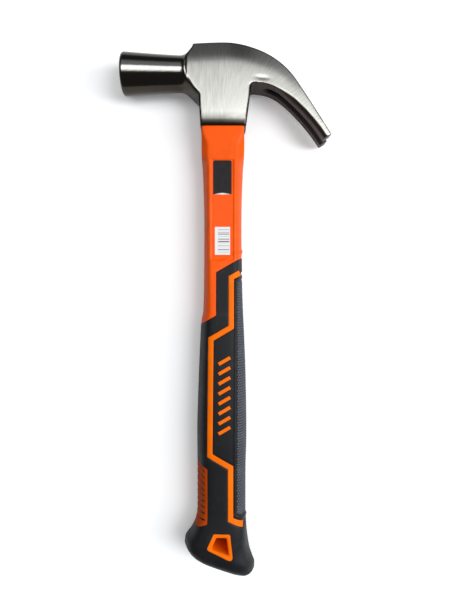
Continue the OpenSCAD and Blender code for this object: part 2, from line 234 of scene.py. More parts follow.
print("claw:", round(CLAW_LEN, 1), "mm long,", claw_depth(np.array([0, CLAW_LEN])).round(1), "mm thick")

# %% Side outline, from the block's lower right corner all the way round
along = np.linspace(0, CLAW_LEN, 34)
top_points, top_turn = claw_top(along)
under_points = top_points - claw_depth(along)[:, None] * lean(top_turn)
arc_points = ARC_C + ARC_R * lean(np.linspace(0, ROOT_TURN, 14)[:-1])
TOP_FALL = 0.0018                     # the top falls as x^2 towards the poll
back_x = np.linspace(ARC_C[0] - 2, -18.5, 8)
back_points = np.stack([back_x, TOP - TOP_FALL * (back_x - ARC_C[0]) ** 2], -1)
block_right = round_corners([[-13.6, 0, 0.6], [14.6, 0, 0.6], [17.0, 18.6, 9.0], [17.4, 26.6, 2.9],
                             [22.0, 26.2, 0.01]])[ARC_STEPS:-ARC_STEPS]
block_left = np.array([[-20.6, 47.0], [-22.2, 44.0], [-26.0, 42.0], [-26.0, 27.0], [-20.0, 21.8],
                       [-16.2, 18.7], [-14.6, 13.5], [-14.0, 6.5]])
first_corner = round_corners([[-14.0, 6.5, 1.0], [-13.6, 0, 0.6], [14.6, 0, 0.6]])
first_corner = first_corner[ARC_STEPS:2 * ARC_STEPS]
side_outline = np.concatenate([block_right, under_points[1:], top_points[::-1], arc_points[::-1],
                               back_points, block_left, first_corner])
print("side outline:", len(side_outline), "points")

# %% Lengths on the head, and its ground faces
SLOT_TURN = 48.0                      # the slot begins where the top line leans this much
SLOT_S = ARC_R * math.radians(SLOT_TURN - ROOT_TURN)
SLOT_FROM = claw_top(np.array([SLOT_S]))[0][0]
SLOT_LEN = CLAW_LEN - SLOT_S + 4.0
POLL_Y = 35.3                         # height of the poll's axis
FACE_X = head_low[0]                  # striking face
POLL_R, RIM_R = 10.75, 13.1           # the poll's radius at the block and just behind its face
POLL_FILLET = 4.5                     # fillet where the poll meets the block
SLOT_HALF, SLOT_SPREAD = 2.05, 0.5    # the slot's half width at its end, and what it gains
CROWN_SLOPE, LOWER_SLOPE = 0.262, 0.36


def below_top(x, y):
    """Depth t below the head's top line, and the length s along that line from the handle axis."""
    dx, dy = x - ARC_C[0], y - ARC_C[1]
    turn, n = np.arctan2(dx, dy), lean(ARC_TURN)
    past = (x - ARC_END[0]) * STRAIGHT_WAY[0] + (y - ARC_END[1]) * STRAIGHT_WAY[1]
    t = np.where(turn < 0, TOP - TOP_FALL * dx * dx - y, ARC_R - np.hypot(dx, dy))
    t = np.where(past > 0, (ARC_END[0] - x) * n[0] + (ARC_END[1] - y) * n[1], t)
    s = np.where(turn < 0, x, ARC_C[0] + ARC_R * np.maximum(turn, 0))
    return t, np.where(past > 0, ARC_C[0] + ARC_R * math.radians(ARC_TURN) + past, s)


def above_underside(x, y):
    """Height above the claw's underside, square to the top line: depth of the claw, less t."""
    t, s = below_top(x, y)
    return claw_depth(s - ROOT_S) - t


def half_thickness(x, y):
    """Ground faces of the head: level cheeks, less a crown bevel along the top line, a bevel at
    the eye's lower edge and a small dent; the claw spreads a little towards its tips."""
    t = below_top(x, y)[0]
    width = 11.3 - 3.9 * smooth_step(5.0, 36.0, x) - 5.6 * smooth_step(22.0, 54.0, x)
    flat = CHEEK - 1.4 * smooth_step(0.0, 22.0, x) + 1.6 * smooth_step(30.0, 68.0, x)
    crown = CROWN_SLOPE * (soft_ramp(width - t, 2.0) - 0.06) * smooth_step(1.0, 3.5, width)
    lower = LOWER_SLOPE * soft_ramp(4.0 - y, 2.0) * smooth_step(30.0, 20.0, x)
    dent = 0.24 * np.exp(-((x - 24.5) / 3.4) ** 2 - ((y - 29.2 + 0.1 * (x - 24.5)) / 1.2) ** 2)
    clear_of_poll = 1.2 * soft_ramp(-21.6 - x, 0.4)
    return flat - crown - lower - dent + clear_of_poll


across_eye = half_thickness(np.zeros(2), np.array([20.0, 50.0]))
print("half thickness at the cheek and under the crown:", across_eye.round(2))

# %% Poll, shoulder, slot and eye as fields
def poll_field(x, y, z):
    """A bell turned about the poll's axis, with a rounded rim and a faintly crowned face."""
    h, r = -x, np.sqrt((y - POLL_Y) ** 2 + z * z)
    u = np.clip((h - 25.0) / (-FACE_X - 27.0), 0, 1.2)
    bell = POLL_R + (RIM_R - POLL_R) * u ** 1.25
    end = h + FACE_X + 1.0 * (r / 13.0) ** 2
    return soft_max(soft_max(r - bell, end, 2.2), -h, 1.0)


def shoulder_field(x, y, z):
    """The block's end is turned to a cone, x = -21.7 + 0.62 q + 0.045 q^2 with q = r - 11.9."""
    r = np.sqrt((y - POLL_Y) ** 2 + z * z)
    q = np.maximum(r - 11.9, 0.0)
    most = -18.5 + 3.9 * smooth_step(POLL_Y - 2.0, POLL_Y - 13.0, y)
    return (soft_min(-21.7 + 0.62 * q + 0.045 * q * q, most, 0.8) - x) / 1.2


def slot_field(x, y, z):
    """Nail slot: a round end, walls that part towards the tip, and edges bevelled underneath."""
    a = math.radians(SLOT_TURN)
    u = (x - SLOT_FROM[0]) * math.cos(a) - (y - SLOT_FROM[1]) * math.sin(a)
    bevel = soft_ramp(np.clip(1.5 - above_underside(x, y), -1.0, 1.5), 0.4)
    half = SLOT_HALF + SLOT_SPREAD * np.clip(u, 0, None) / SLOT_LEN + 0.5 * bevel
    return np.where(u > 0, np.abs(z), np.hypot(u, z)) - half


def eye_field(x, z):
    """Stadium through the block: two half circles and the straight walls between them."""
    straight = (resin_high[0] - resin_low[0] - resin_high[2] + resin_low[2]) / 2
    return np.hypot(np.maximum(np.abs(x) - straight, 0), z) - (resin_high[2] - resin_low[2]) / 2


print("the eye's wall stands", eye_field(np.zeros(1), np.zeros(1)).round(2), "mm from the middle")

# %% The head's field
def head_field(x, y, z, side=None, thick=None):
    """Outline, blended with the poll, cut by a chamfer under the claw and by the ground faces,
    then by the eye and the slot."""
    side = outline_distance(x, y, side_outline) if side is None else side
    thick = half_thickness(x, y) if thick is None else thick
    block = soft_max(side, shoulder_field(x, y, z), 1.0)
    body = soft_min(block, poll_field(x, y, z), POLL_FILLET)
    edge = 0.6 + 1.1 * smooth_step(20.0, 15.0, x) * smooth_step(46.0, 38.0, y)
    chamfer = 0.75 * (np.abs(z) - thick + 1.5) - 0.6 * np.maximum(above_underside(x, y), -2.0)
    fades = 9.0 * smooth_step(26.0, 18.0, x) + 1.8 * smooth_step(46.0, 24.0, x)
    body = soft_max(body, chamfer - fades, 0.5)
    steel = soft_max(body, np.abs(z) - thick, edge)
    steel = soft_max(steel, -eye_field(x, z), 0.5)
    return soft_max(steel, -slot_field(x, y, z), 0.6)


inside_poll = head_field(np.array([-50.0]), np.array([POLL_Y]), np.zeros(1))
print("field inside the poll:", inside_poll.round(1), "mm")


# %% [markdown]
# ## From a field to a mesh
# The field is sampled on a lattice of small cubes. A cube that the surface crosses gets one
# point, at the mean of its crossed edges, and each crossed lattice edge gets one four-sided face
# between the cubes round it. Then every point slides down the field's own slope onto the
# surface, so that the flats are truly flat and the fillets smooth.

# %% Surface net of a field
def surface_net(field, low, high, cell):
    """Points and faces where the field is 0; whole arrays, one pass for each of 12 and 3 edges."""
    axes = [np.arange(l, h + cell, cell) for l, h in zip(low, high)]
    x, y = np.meshgrid(axes[0], axes[1], indexing="ij")
    side, thick = outline_distance(x, y, side_outline)[..., None], half_thickness(x, y)[..., None]
    value = field(x[..., None], y[..., None], axes[2][None, None, :], side, thick)
    nx, ny, nz = value.shape
    total, count = np.zeros((nx - 1, ny - 1, nz - 1, 3)), np.zeros((nx - 1, ny - 1, nz - 1))
    for axis in range(3):
        others = [k for k in range(3) if k != axis]
        for da in (0, 1):
            for db in (0, 1):
                pick = [slice(0, -1)] * 3
                pick[others[0]] = slice(da, da + value.shape[others[0]] - 1)
                pick[others[1]] = slice(db, db + value.shape[others[1]] - 1)
                a = value[tuple(pick)]
                pick[axis] = slice(1, None)
                b = value[tuple(pick)]
                cross = (a < 0) != (b < 0)
                part = np.where(cross, a / np.where(cross, a - b, 1), 0)
                total[..., axis] += part
                total[..., others[0]] += da * cross
                total[..., others[1]] += db * cross
                count += cross
    used = count > 0
    number = np.cumsum(used.ravel()).reshape(used.shape) - 1
    points = np.argwhere(used) + total[used] / count[used][:, None]
    points = np.array(low) + points * cell
    faces = []
    for axis in range(3):
        i, j = [k for k in range(3) if k != axis]
        inner = [slice(1, -1)] * 3
        inner[axis] = slice(0, -1)
        near = value[tuple(inner)]
        inner[axis] = slice(1, None)
        far = value[tuple(inner)]
        at = np.argwhere((near < 0) != (far < 0))
        outward = near[tuple(at.T)] < 0
        at[:, i] += 1
        at[:, j] += 1
        shift_i, shift_j = np.eye(3, dtype=int)[i], np.eye(3, dtype=int)[j]
        corners = [at - a * shift_i - b * shift_j for a, b in ((1, 1), (0, 1), (0, 0), (1, 0))]
        ring = np.stack([number[tuple(corner.T)] for corner in corners], -1)
        flip = outward if axis != 1 else ~outward
        faces.append(np.where(flip[:, None], ring, ring[:, ::-1]))
    return points, np.concatenate(faces)


def settle(points, field, rounds=3, reach=0.02):
    """Newton steps down the slope: p - f grad f / |grad f|^2, no step longer than 0.3."""
    for _ in range(rounds):
        slope = np.stack([field(*(points + reach * axis).T) - field(*(points - reach * axis).T)
                          for axis in np.eye(3)], -1) / (2 * reach)
        step = field(*points.T)[:, None] * slope / np.maximum((slope ** 2).sum(1, keepdims=True), 0.2)
        points = points - np.clip(step, -0.3, 0.3)
    return points


# %% The head's points, settled on its field
HEAD_CELL = 0.46
head_points, head_faces = surface_net(head_field, head_low - 1,
                                      (head_high[0] + 1, TOP + 1, head_high[2] + 1), HEAD_CELL)
head_points = settle(head_points, head_field)
print("head:", len(head_points), "points, cubes of", HEAD_CELL, "mm")

# %% [markdown]
# ## Steel finishes
# The whole head is one steel, worked in three ways: brushed flats whose scratches run from the
# crown to the handle, a poll turned in a lathe, and dark forge scale where no wheel reached. An
# image could hold this, but a pattern that follows the shape keeps sharp at any distance. So each
# point of the head stores where it is along and across the head, and how it was worked. The mark
# for the ground flats also carries a painted reflection, dark on the poll's sides, its fillet and
# the cone behind it.

# %% Direction of the surface at each point
def point_normals(points, faces):
    """Mean direction of the faces round each point, from their diagonals' cross product."""
    a, b, c, d = (points[faces[:, k]] for k in range(4))
    face_n = np.cross(c - a, d - b)
    total = np.zeros_like(points)
    for k in range(4):
        np.add.at(total, faces[:, k], face_n)
    return total / np.maximum(np.linalg.norm(total, axis=1, keepdims=True), 1e-12)


head_normals = point_normals(head_points, head_faces)
print("points that face straight up or down:", int((np.abs(head_normals[:, 2]) > 0.99).sum()))

# %% What each point of the head stores
def head_marks(points, normals):
    """Grain = (length along the head, depth below its top line, z); the marks are 0 to 1."""
    x, y, z = points.T
    up = np.abs(normals[:, 2])
    face = smooth_step(0.85, 0.97, -normals[:, 0]) * smooth_step(-60.0, -62.0, x)
    by_handle = smooth_step(9.0, 3.0, y) * smooth_step(18.0, 16.0, x)
    # Ground flats: bright where the surface faces straight out of the sides, and on the striking face.
    # Where this is 0 the steel is painted dark: the hardened skin of the rounded edges, and a painted
    # reflection on the poll's sides, its fillet and the cone, so the poll shows one bright band. The
    # flats are also made darker just above the handle.
    ground_and_painted_reflection = np.maximum(smooth_step(0.95, 0.99, up) * (1 - 0.75 * by_handle), face)
    t, s = below_top(x, y)
    under = outline_distance(x, y, side_outline)
    depth = np.where(x > 17.0, claw_depth(s - ROOT_S), 99.0)
    on_under = smooth_step(0.9, 0.35, -under) * smooth_step(0.25, 0.45, t / depth)
    on_under *= smooth_step(17.6, 19.0, x)
    in_slot = smooth_step(0.5, 0.15, slot_field(x, y, z)) * smooth_step(0.15, 0.5, t)
    below_flat = smooth_step(-0.15, -0.45, np.abs(z) - half_thickness(x, y))
    scale = np.clip(np.maximum(on_under, in_slot) * below_flat, 0, 1)
    turned = smooth_step(-21.5, -23.0, x)
    # The slot mark paints the inside of the nail slot near black: painted shade.
    return {"grain": np.stack([s, t, z], -1), "scale": scale, "turned": turned, "slot": in_slot * scale,
            "ground_and_painted_reflection": ground_and_painted_reflection}


head = make_piece("forged_head", head_points, head_faces, "head_steel", "head", 50.0,
                  head_marks(head_points, head_normals))

# %% [markdown]
# ## Node helpers
# Materials are built from nodes. A small helper adds a node and joins its inputs, so that each
# finish below reads as a list of what it is made of.

# %% A node and its inputs
def give(tree, node, inputs):
    """Each named input takes a number or joins another node's output; _ stands for a space."""
    for key, value in inputs.items():
        socket = node.inputs[key.replace("_", " ") if isinstance(key, str) else key]
        if isinstance(value, bpy.types.NodeSocket):
            tree.links.new(value, socket)
        else:
            socket.default_value = value
    return node


def add(tree, kind, inputs=None, **settings):
    """A node of a kind, with its settings and its inputs."""
    node = tree.nodes.new(kind)
    for key, value in settings.items():
        setattr(node, key, value)
    return give(tree, node, inputs or {})


def calc(tree, what, a, b=0.0, c=0.0):
    """A Math node's output."""
    return add(tree, "ShaderNodeMath", {0: a, 1: b, 2: c}, operation=what).outputs[0]


def rise(tree, value, low, high):
    """0 below low, 1 above high, and straight in between."""
    node = add(tree, "ShaderNodeMapRange", {"Value": value, "From Min": low, "From Max": high})
    return node.outputs[0]


# %% Colours and patterns
def mix(tree, amount, a, b):
    """One colour over another by an amount."""
    return add(tree, "ShaderNodeMix", {0: amount, 6: a, 7: b}, data_type="RGBA").outputs[2]


def between(tree, amount, a, b):
    """A number between a and b by an amount."""
    return add(tree, "ShaderNodeMix", {0: amount, 2: a, 3: b}, data_type="FLOAT").outputs[0]


def ramp(tree, value, *stops):
    """A colour that follows a value through the given stops."""
    node = add(tree, "ShaderNodeValToRGB", {"Fac": value})
    while len(node.color_ramp.elements) < len(stops):
        node.color_ramp.elements.new(0.5)
    for element, (place, colour) in zip(node.color_ramp.elements, stops):
        element.position = place
        element.color = (*colour, 1)
    return node.outputs["Color"]


def noise(tree, vector, scale, detail=2.0, rough=0.5):
    """Smooth noise, 0 to 1."""
    return add(tree, "ShaderNodeTexNoise", {"Vector": vector, "Scale": scale, "Detail": detail,
                                            "Roughness": rough}).outputs["Fac"]


def stretched(tree, vector, by):
    """A vector multiplied by three numbers, which stretches the pattern that reads it."""
    return add(tree, "ShaderNodeVectorMath", {0: vector, 1: by}, operation="MULTIPLY").outputs["Vector"]


# %% A new material, and a piece that wears it
def surface(name, **fixed):
    """A new material: its tree, its Principled shader, and constants set on the shader itself."""
    material = bpy.data.materials.new(name)
    material.use_nodes = True
    tree = material.node_tree
    return material, tree, give(tree, tree.nodes["Principled BSDF"], fixed)


def feed(tree, shader, **parts):
    """Join outputs to the shader's inputs of those names."""
    give(tree, shader, parts)


def bumped(tree, height, strength, distance):
    """A normal that follows a height pattern: too fine to be worth modelling."""
    inputs = {"Strength": strength, "Distance": distance, "Height": height}
    return add(tree, "ShaderNodeBump", inputs).outputs["Normal"]


def wear(piece, material):
    """The piece takes this material in every slot."""
    slots = piece.data.materials
    if len(slots):
        for k in range(len(slots)):
            slots[k] = material
    else:
        slots.append(material)


# %% Node groups
def group(name, inputs, outputs):
    """An empty shader node group with named sockets, and its input and output nodes."""
    tree = bpy.data.node_groups.new(name, "ShaderNodeTree")
    kinds = {"v": "NodeSocketVector", "f": "NodeSocketFloat"}
    for title, kind, value in inputs:
        socket = tree.interface.new_socket(name=title, in_out="INPUT", socket_type=kinds[kind])
        if value is not None:
            socket.default_value = value
    for title, kind in outputs:
        tree.interface.new_socket(name=title, in_out="OUTPUT", socket_type=kinds[kind])
    return tree, tree.nodes.new("NodeGroupInput").outputs, tree.nodes.new("NodeGroupOutput").inputs


def placed_group(tree, effect, **inputs):
    """The group as a node in a material, with its own values."""
    return add(tree, "ShaderNodeGroup", inputs, node_tree=effect).outputs


# %% [markdown]
# ## Scratches, grain and handling as shared effects
# Three effects return in many finishes: scratches that run one way, the fine grain that a mould
# leaves, and the faint rubbed patches of a tool that has been in a hand. Each is a node group
# with its own inputs, so a finish places it and says how coarse or how strong it should be.

# %% Brushed scratches as a group
scratches, put, got = group("brushed_scratches",
                            [("Vector", "v", None), ("Across", "f", 2.2), ("Along", "f", 0.12)],
                            [("Streaks", "f"), ("Fine", "f")])
parts = add(scratches, "ShaderNodeSeparateXYZ", {0: put["Vector"]}).outputs
line_space = add(scratches, "ShaderNodeCombineXYZ",
                 {"X": calc(scratches, "MULTIPLY", parts["X"], put["Across"]),
                  "Y": calc(scratches, "MULTIPLY", parts["Y"], put["Along"]),
                  "Z": calc(scratches, "MULTIPLY", parts["Z"], 0.4)}).outputs[0]
scratches.links.new(noise(scratches, line_space, 1.0, 4.0, 0.62), got["Streaks"])
scratches.links.new(noise(scratches, line_space, 3.1, 3.0, 0.6), got["Fine"])
print("brushed scratches:", len(scratches.nodes), "nodes")

# %% Moulded grain as a group: fine pores, and a slow unevenness of the colour
mould, put, got = group("moulded_grain",
                        [("Vector", "v", None), ("Pores", "f", 1400.0), ("Patches", "f", 60.0)],
                        [("Height", "f"), ("Unevenness", "f")])
pores = noise(mould, put["Vector"], put["Pores"], 2.0, 0.55)
swirl = noise(mould, put["Vector"], put["Patches"], 3.0, 0.5)
mould.links.new(calc(mould, "MULTIPLY_ADD", swirl, 0.25, pores), got["Height"])
mould.links.new(swirl, got["Unevenness"])
print("moulded grain:", len(mould.nodes), "nodes")

# %% Handling as a group: sparse rubbed patches and hairline scuffs
handled, put, got = group("handling", [("Vector", "v", None), ("Amount", "f", 0.5)],
                          [("Rubbed", "f"), ("Scuffs", "f")])
patch = noise(handled, put["Vector"], 95.0, 4.0, 0.6)
hair = noise(handled, stretched(handled, put["Vector"], (900.0, 70.0, 400.0)), 1.0, 2.0, 0.5)
for title, pattern, low, high in (("Rubbed", patch, 0.52, 0.72), ("Scuffs", hair, 0.66, 0.74)):
    worn = calc(handled, "MULTIPLY", rise(handled, pattern, low, high), put["Amount"])
    handled.links.new(worn, got[title])
print("handling:", len(handled.nodes), "nodes")

# %% [markdown]
# ## The steel
# The wheel only reaches the broad flats: cheeks, crown bevel and striking face come out bright,
# while the rounded edges keep a dark hardened skin. The poll's sides, its fillet and the cone
# behind it are painted dark as well: a painted reflection that leaves the poll one bright band.
# The inside of the nail slot is painted near black, as painted shade. The stored marks decide
# which is which, and the scratches follow the stored lengths, so they bend with the claw.

# %% Steel: brushed flats, dark hardened skin and painted reflection, forge scale, painted shade in the slot
steel, tree, shader = surface("ground_steel", Metallic=1.0)


def mark(name):
    """A number stored on the points of the piece."""
    return add(tree, "ShaderNodeAttribute", attribute_name=name).outputs["Fac"]


grain = add(tree, "ShaderNodeAttribute", attribute_name="grain").outputs["Vector"]
scale_mark, turned_mark, ground_and_painted_reflection_mark, slot_painted_shade_mark = (mark(m) for m in ("scale", "turned", "ground_and_painted_reflection", "slot"))
brushed = placed_group(tree, scratches, Vector=grain, Across=1.5, Along=0.10)
turned = placed_group(tree, scratches, Vector=grain, Across=4.0, Along=0.02)
flat_colour = ramp(tree, brushed["Streaks"], (0.25, (0.50, 0.50, 0.465)), (0.5, (0.64, 0.64, 0.595)),
                   (0.75, (0.78, 0.78, 0.73)))
turned_colour = ramp(tree, turned["Streaks"], (0.3, (0.52, 0.52, 0.49)), (0.7, (0.68, 0.68, 0.64)))
# Dark skin colour: the hardened skin of the rounded edges, and painted shade on the poll's sides, its
# fillet and the cone.
skin_and_painted_shade_colour = ramp(tree, turned["Fine"], (0.3, (0.042, 0.036, 0.029)), (0.7, (0.068, 0.060, 0.050)))
bright = mix(tree, turned_mark, flat_colour, turned_colour)
ground_and_painted_reflection = mix(tree, ground_and_painted_reflection_mark, skin_and_painted_shade_colour, bright)
pits = noise(tree, stretched(tree, grain, (0.5, 0.5, 0.5)), 1.4, 5.0, 0.6)
forge_colour = ramp(tree, pits, (0.3, (0.030, 0.020, 0.017)), (0.7, (0.062, 0.043, 0.037)))
# Inside the nail slot the forge scale is painted near black: painted shade.
forge_colour = mix(tree, slot_painted_shade_mark, forge_colour, (0.008, 0.005, 0.005, 1))
brushed_rough = calc(tree, "MULTIPLY_ADD", brushed["Fine"], 0.16, 0.24)
turned_rough = calc(tree, "MULTIPLY_ADD", turned["Fine"], 0.08, 0.12)
rough = between(tree, turned_mark, brushed_rough, turned_rough)
rough = between(tree, scale_mark, rough, 0.5)
height = between(tree, turned_mark, brushed["Streaks"], calc(tree, "MULTIPLY", turned["Streaks"], 0.4))
height = between(tree, scale_mark, height, pits)
feed(tree, shader, Base_Color=mix(tree, scale_mark, ground_and_painted_reflection, forge_colour), Roughness=rough,
     Metallic=calc(tree, "MULTIPLY_ADD", scale_mark, -0.75, 1.0),
     Normal=bumped(tree, height, 0.35, 0.0001))
wear(head, steel)
print("steel:", len(tree.nodes), "nodes")

# %% [markdown]
# ## The handle's form
# Jacket, grip, stripes and pads all follow one moulded form, so the form comes first, as a
# function of two parameters: how far down the handle, and which way round it. A real handle is
# designed the same way, as a few cross sections with smooth curves between them.
#
# Every section is an eight-sided figure with soft corners. A plain superellipse has no facets
# and a polygon has no soft corners, while this formula has both: one over the p-th root of the
# sum of p-th powers of how far each flat would let the point go.

# %% Sections down the handle
END = -handle_low[1]                  # the handle's lower end
FLARE = END - 41.0                    # where the butt begins to widen
SMALL, BELLY, LIP = FLARE - 23.0, FLARE - 47.0, 118.0
# rows of: distance down; face side x, y; claw side x, y; half thickness; softness
SECTIONS = np.array([
    [0, -12.85, 0, 13.55, 0, 9.15, 22],
    [2.2, -13.0, -2.2, 13.6, -2.2, 9.2, 24],
    [6.5, -13.05, -6.5, 13.65, -6.5, 9.2, 26],
    [11.2, -13.1, -11.2, 13.7, -11.2, 9.2, 28],
    [17, -13.05, -17, 13.6, -17, 9.2, 28],
    [21.6, -12.8, -21.6, 13.3, -21.6, 9.2, 26],
    [26, -12.4, -26, 12.9, -26, 9.2, 24],
    [60, -11.45, -60, 12.0, -60, 9.2, 20],
    [88, -11.55, -88, 12.1, -88, 9.6, 15],
    [LIP - 4, -12.1, -LIP + 4, 12.8, -LIP + 4, 10.6, 11],
    [LIP + 2, -13.2, -LIP - 2, 13.1, -LIP - 2, 10.95, 9],
    [133, -13.9, -133, 13.7, -133, 11.4, 8],
    [152, -14.7, -152, 14.4, -152, 11.9, 7.5],
    [BELLY, -15.75, -BELLY, 14.95, -BELLY, 12.75, 7],
    [SMALL, -15.6, -SMALL, 14.4, -SMALL, 12.45, 7],
    [FLARE, -15.6, -FLARE, 14.35, -FLARE, 12.75, 7],
    [FLARE + 5, -16.3, -FLARE - 5.6, 14.5, -FLARE - 6.4, 13.1, 7],
    [FLARE + 9.5, -17.8, -FLARE - 10.1, 14.9, -FLARE - 12.6, 13.6, 6.5],
    [FLARE + 13.5, -20.1, -FLARE - 14.2, 15.6, -FLARE - 18.6, 13.95, 6],
    [FLARE + 18, -23.2, -FLARE - 18.2, 16.7, -FLARE - 25.0, 14.15, 6],
    [FLARE + 22.5, -23.7, -FLARE - 21.6, 18.6, -FLARE - 30.8, 14.1, 6],
    [FLARE + 26, -22.6, -FLARE - 24.8, 19.9, -FLARE - 34.8, 13.5, 5.5],
    [FLARE + 28.4, -20.5, -FLARE - 27.2, 19.7, -FLARE - 38.2, 12.3, 5],
    [FLARE + 30, -17.3, -FLARE - 29.4, 17.8, -FLARE - 40.1, 10.3, 5],
    [FLARE + 31.2, -11.5, -FLARE - 33.1, 12.8, -FLARE - 41.2, 6.6, 5],
    [FLARE + 31.7, -3.4, -FLARE - 38.1, 6.0, -FLARE - 41.0, 2.0, 5]])
# distance down; where the collar's bevel and the side's bevel meet the flat, from the middle
BEVELS = np.array([[0, 13.9, 16], [2.2, 13.0, 16], [11.1, 9.4, 15], [17, 9.4, 11.95], [21.6, 9.45, 9.4],
                   [27, 10, 8.8], [60, 10, 8.6], [88, 9.6, 8.4], [LIP, 9.8, 8.9], [BELLY, 11.6, 11.0],
                   [FLARE, 11.4, 10.8], [FLARE + 13, 16, 17], [FLARE + 24, 18, 18], [END, 18, 18]])
COLLAR_TILT, SIDE_TILT = math.radians(45), math.radians(22)
print("sections:", len(SECTIONS), "down", round(SECTIONS[-1, 0], 1), "mm of handle")


# %% Smooth curves through a table
def smooth_table(d, table):
    """Smooth curves through the table's columns that never overshoot: monotone cubics."""
    at, values = table[:, 0], table[:, 1:]
    h = np.diff(at)[:, None]
    slope = np.diff(values, axis=0) / h
    before, after = slope[:-1], slope[1:]
    w1, w2 = 2 * h[1:] + h[:-1], h[1:] + 2 * h[:-1]
    same = before * after > 0
    safe = np.where(same, before * after, 1.0)
    shared = w1 * np.where(same, after, 1) + w2 * np.where(same, before, 1)
    mean = np.where(same, (w1 + w2) * safe / shared, 0.0)
    tangent = np.concatenate([slope[:1], mean, slope[-1:]])
    k = np.clip(np.searchsorted(at, d, "right") - 1, 0, len(at) - 2)
    u = ((d - at[k]) / h[k, 0])[..., None]
    u = np.clip(u, 0, 1)
    return ((1 + 2 * u) * (1 - u) ** 2 * values[k] + u * (1 - u) ** 2 * h[k] * tangent[k]
            + u * u * (3 - 2 * u) * values[k + 1] - u * u * (1 - u) * h[k] * tangent[k + 1])


print("half thickness at the belly:", smooth_table(np.array([BELLY]), SECTIONS)[0, 4])


# %% The form as a function of distance and angle
def form(d, a):
    """Point of the form at distance d down the handle and angle a round it, from the claw side."""
    d, a = np.broadcast_arrays(np.asarray(d, float), np.asarray(a, float))
    lx, ly, rx, ry, thick, soft = np.moveaxis(smooth_table(d, SECTIONS), -1, 0)
    wide = np.hypot(rx - lx, ry - ly) / 2
    c, s = np.abs(np.cos(a)), np.abs(np.sin(a))
    total = (c / wide) ** soft + (s / thick) ** soft
    at_side, at_face = wide ** -soft, thick ** -soft
    shrink = np.minimum(1.0, thick / 9.0)
    for column, tilt in ((1, COLLAR_TILT), (2, SIDE_TILT)):
        corner = np.interp(d, BEVELS[:, 0], BEVELS[:, column]) * shrink
        flat = corner * math.cos(tilt) + thick * math.sin(tilt)
        total = total + ((c * math.cos(tilt) + s * math.sin(tilt)) / flat) ** soft
        at_side = at_side + (math.cos(tilt) / flat) ** soft
        at_face = at_face + (math.sin(tilt) / flat) ** soft
    across = (at_side / total) ** (1 / soft) * np.cos(a)
    up = (at_face / total) ** (1 / soft) * np.sin(a)
    return np.stack([(lx + rx) / 2 + (rx - lx) / 2 * across, (ly + ry) / 2 + (ry - ly) / 2 * across,
                     thick * up], -1)


def form_normal(d, a):
    """Outward direction of the form: the cross product of its two slopes."""
    e = 0.01
    along = form(d + e, a) - form(d - e, a)
    round_it = form(d, a + e / 12) - form(d, a - e / 12)
    n = np.cross(round_it, along)
    return n / np.maximum(np.linalg.norm(n, axis=-1, keepdims=True), 1e-12)


print("section at the label:", form(60.0, np.array([0, math.pi / 2, math.pi])).round(2).tolist())


# %% The form the other way round: the angle or the distance for a place
def angle_at(d, x):
    """Near-side angle at which the section at d reaches x, by halving: x falls from 0 to pi."""
    d, x = np.broadcast_arrays(np.asarray(d, float), np.asarray(x, float))
    low, high = np.full(d.shape, 1e-4), np.full(d.shape, math.pi - 1e-4)
    for _ in range(26):
        middle = (low + high) / 2
        right = form(d, middle)[..., 0] > x
        low, high = np.where(right, middle, low), np.where(right, high, middle)
    return (low + high) / 2


def down_for(y, a):
    """Distance d at which the form has height y at the angle a, by a few corrections."""
    d = -np.asarray(y, float) + 0 * a
    for _ in range(12):
        d = d + 0.9 * (form(d, a)[..., 1] - y)
    return d


def run_length(points):
    """Length along a line of points, from the first one to each."""
    return np.concatenate([[0], np.cumsum(np.linalg.norm(np.diff(points, axis=0), axis=1))])


def even_angles(d, count):
    """Angles at even steps of the outline's length at distance d."""
    fine = np.linspace(0, 2 * math.pi, 4001)
    length = run_length(form(d, fine))
    return np.interp(np.linspace(0, length[-1], count + 1)[:-1], length, fine)


print("mid line meets the near side at", round(math.degrees(angle_at(60.0, 0.0)), 1), "degrees")

# %% [markdown]
# ## The grip's pattern
# Most edges on the handle are zigzags of upright lines and lines at 30 degrees. The black grip
# begins at one such zigzag, and the stripes, the palm strip and the ridge in the jacket repeat it.

# %% Zigzag between jacket and grip
FALL = math.tan(math.radians(30))
SLANT_COS = math.cos(math.radians(30))
STEP_X, STEP_TOP, STEP_LOW = -4.0, -90.0, -(LIP - 1.6)


def edge_height(x):
    """Height of the black edge at x, for either side of the upright step."""
    return np.where(x < STEP_X, STEP_LOW - (STEP_X - x) * FALL, STEP_TOP + (x - STEP_X) * FALL)


def into_grip(x, y):
    """Distance from the zigzag, positive inside the grip's area."""
    right = np.minimum((STEP_TOP + (x - STEP_X) * FALL - y) * SLANT_COS, x - STEP_X)
    left = (STEP_LOW - (STEP_X - x) * FALL - y) * SLANT_COS
    return np.maximum(right, left)


print("black edge at x = -10, -4 and 10:", edge_height(np.array([-10.0, -4.0, 10.0])).round(1))

# %% [markdown]
# ## The jacket
# The orange jacket is one injection moulding. It has flat faces with bevelled corners at the
# head, then two long rails beside a sunken label panel, and a raised ridge along the black edge,
# where the skin sinks under the soft grip. All of these are small heights added to the form
# along its normal, like a relief cut into the mould.

# %% Relief of the jacket
PANEL_SUNK, LINE_SUNK, GRIP_SUNK, RIDGE_HIGH = 0.6, 0.22, 1.0, 0.28


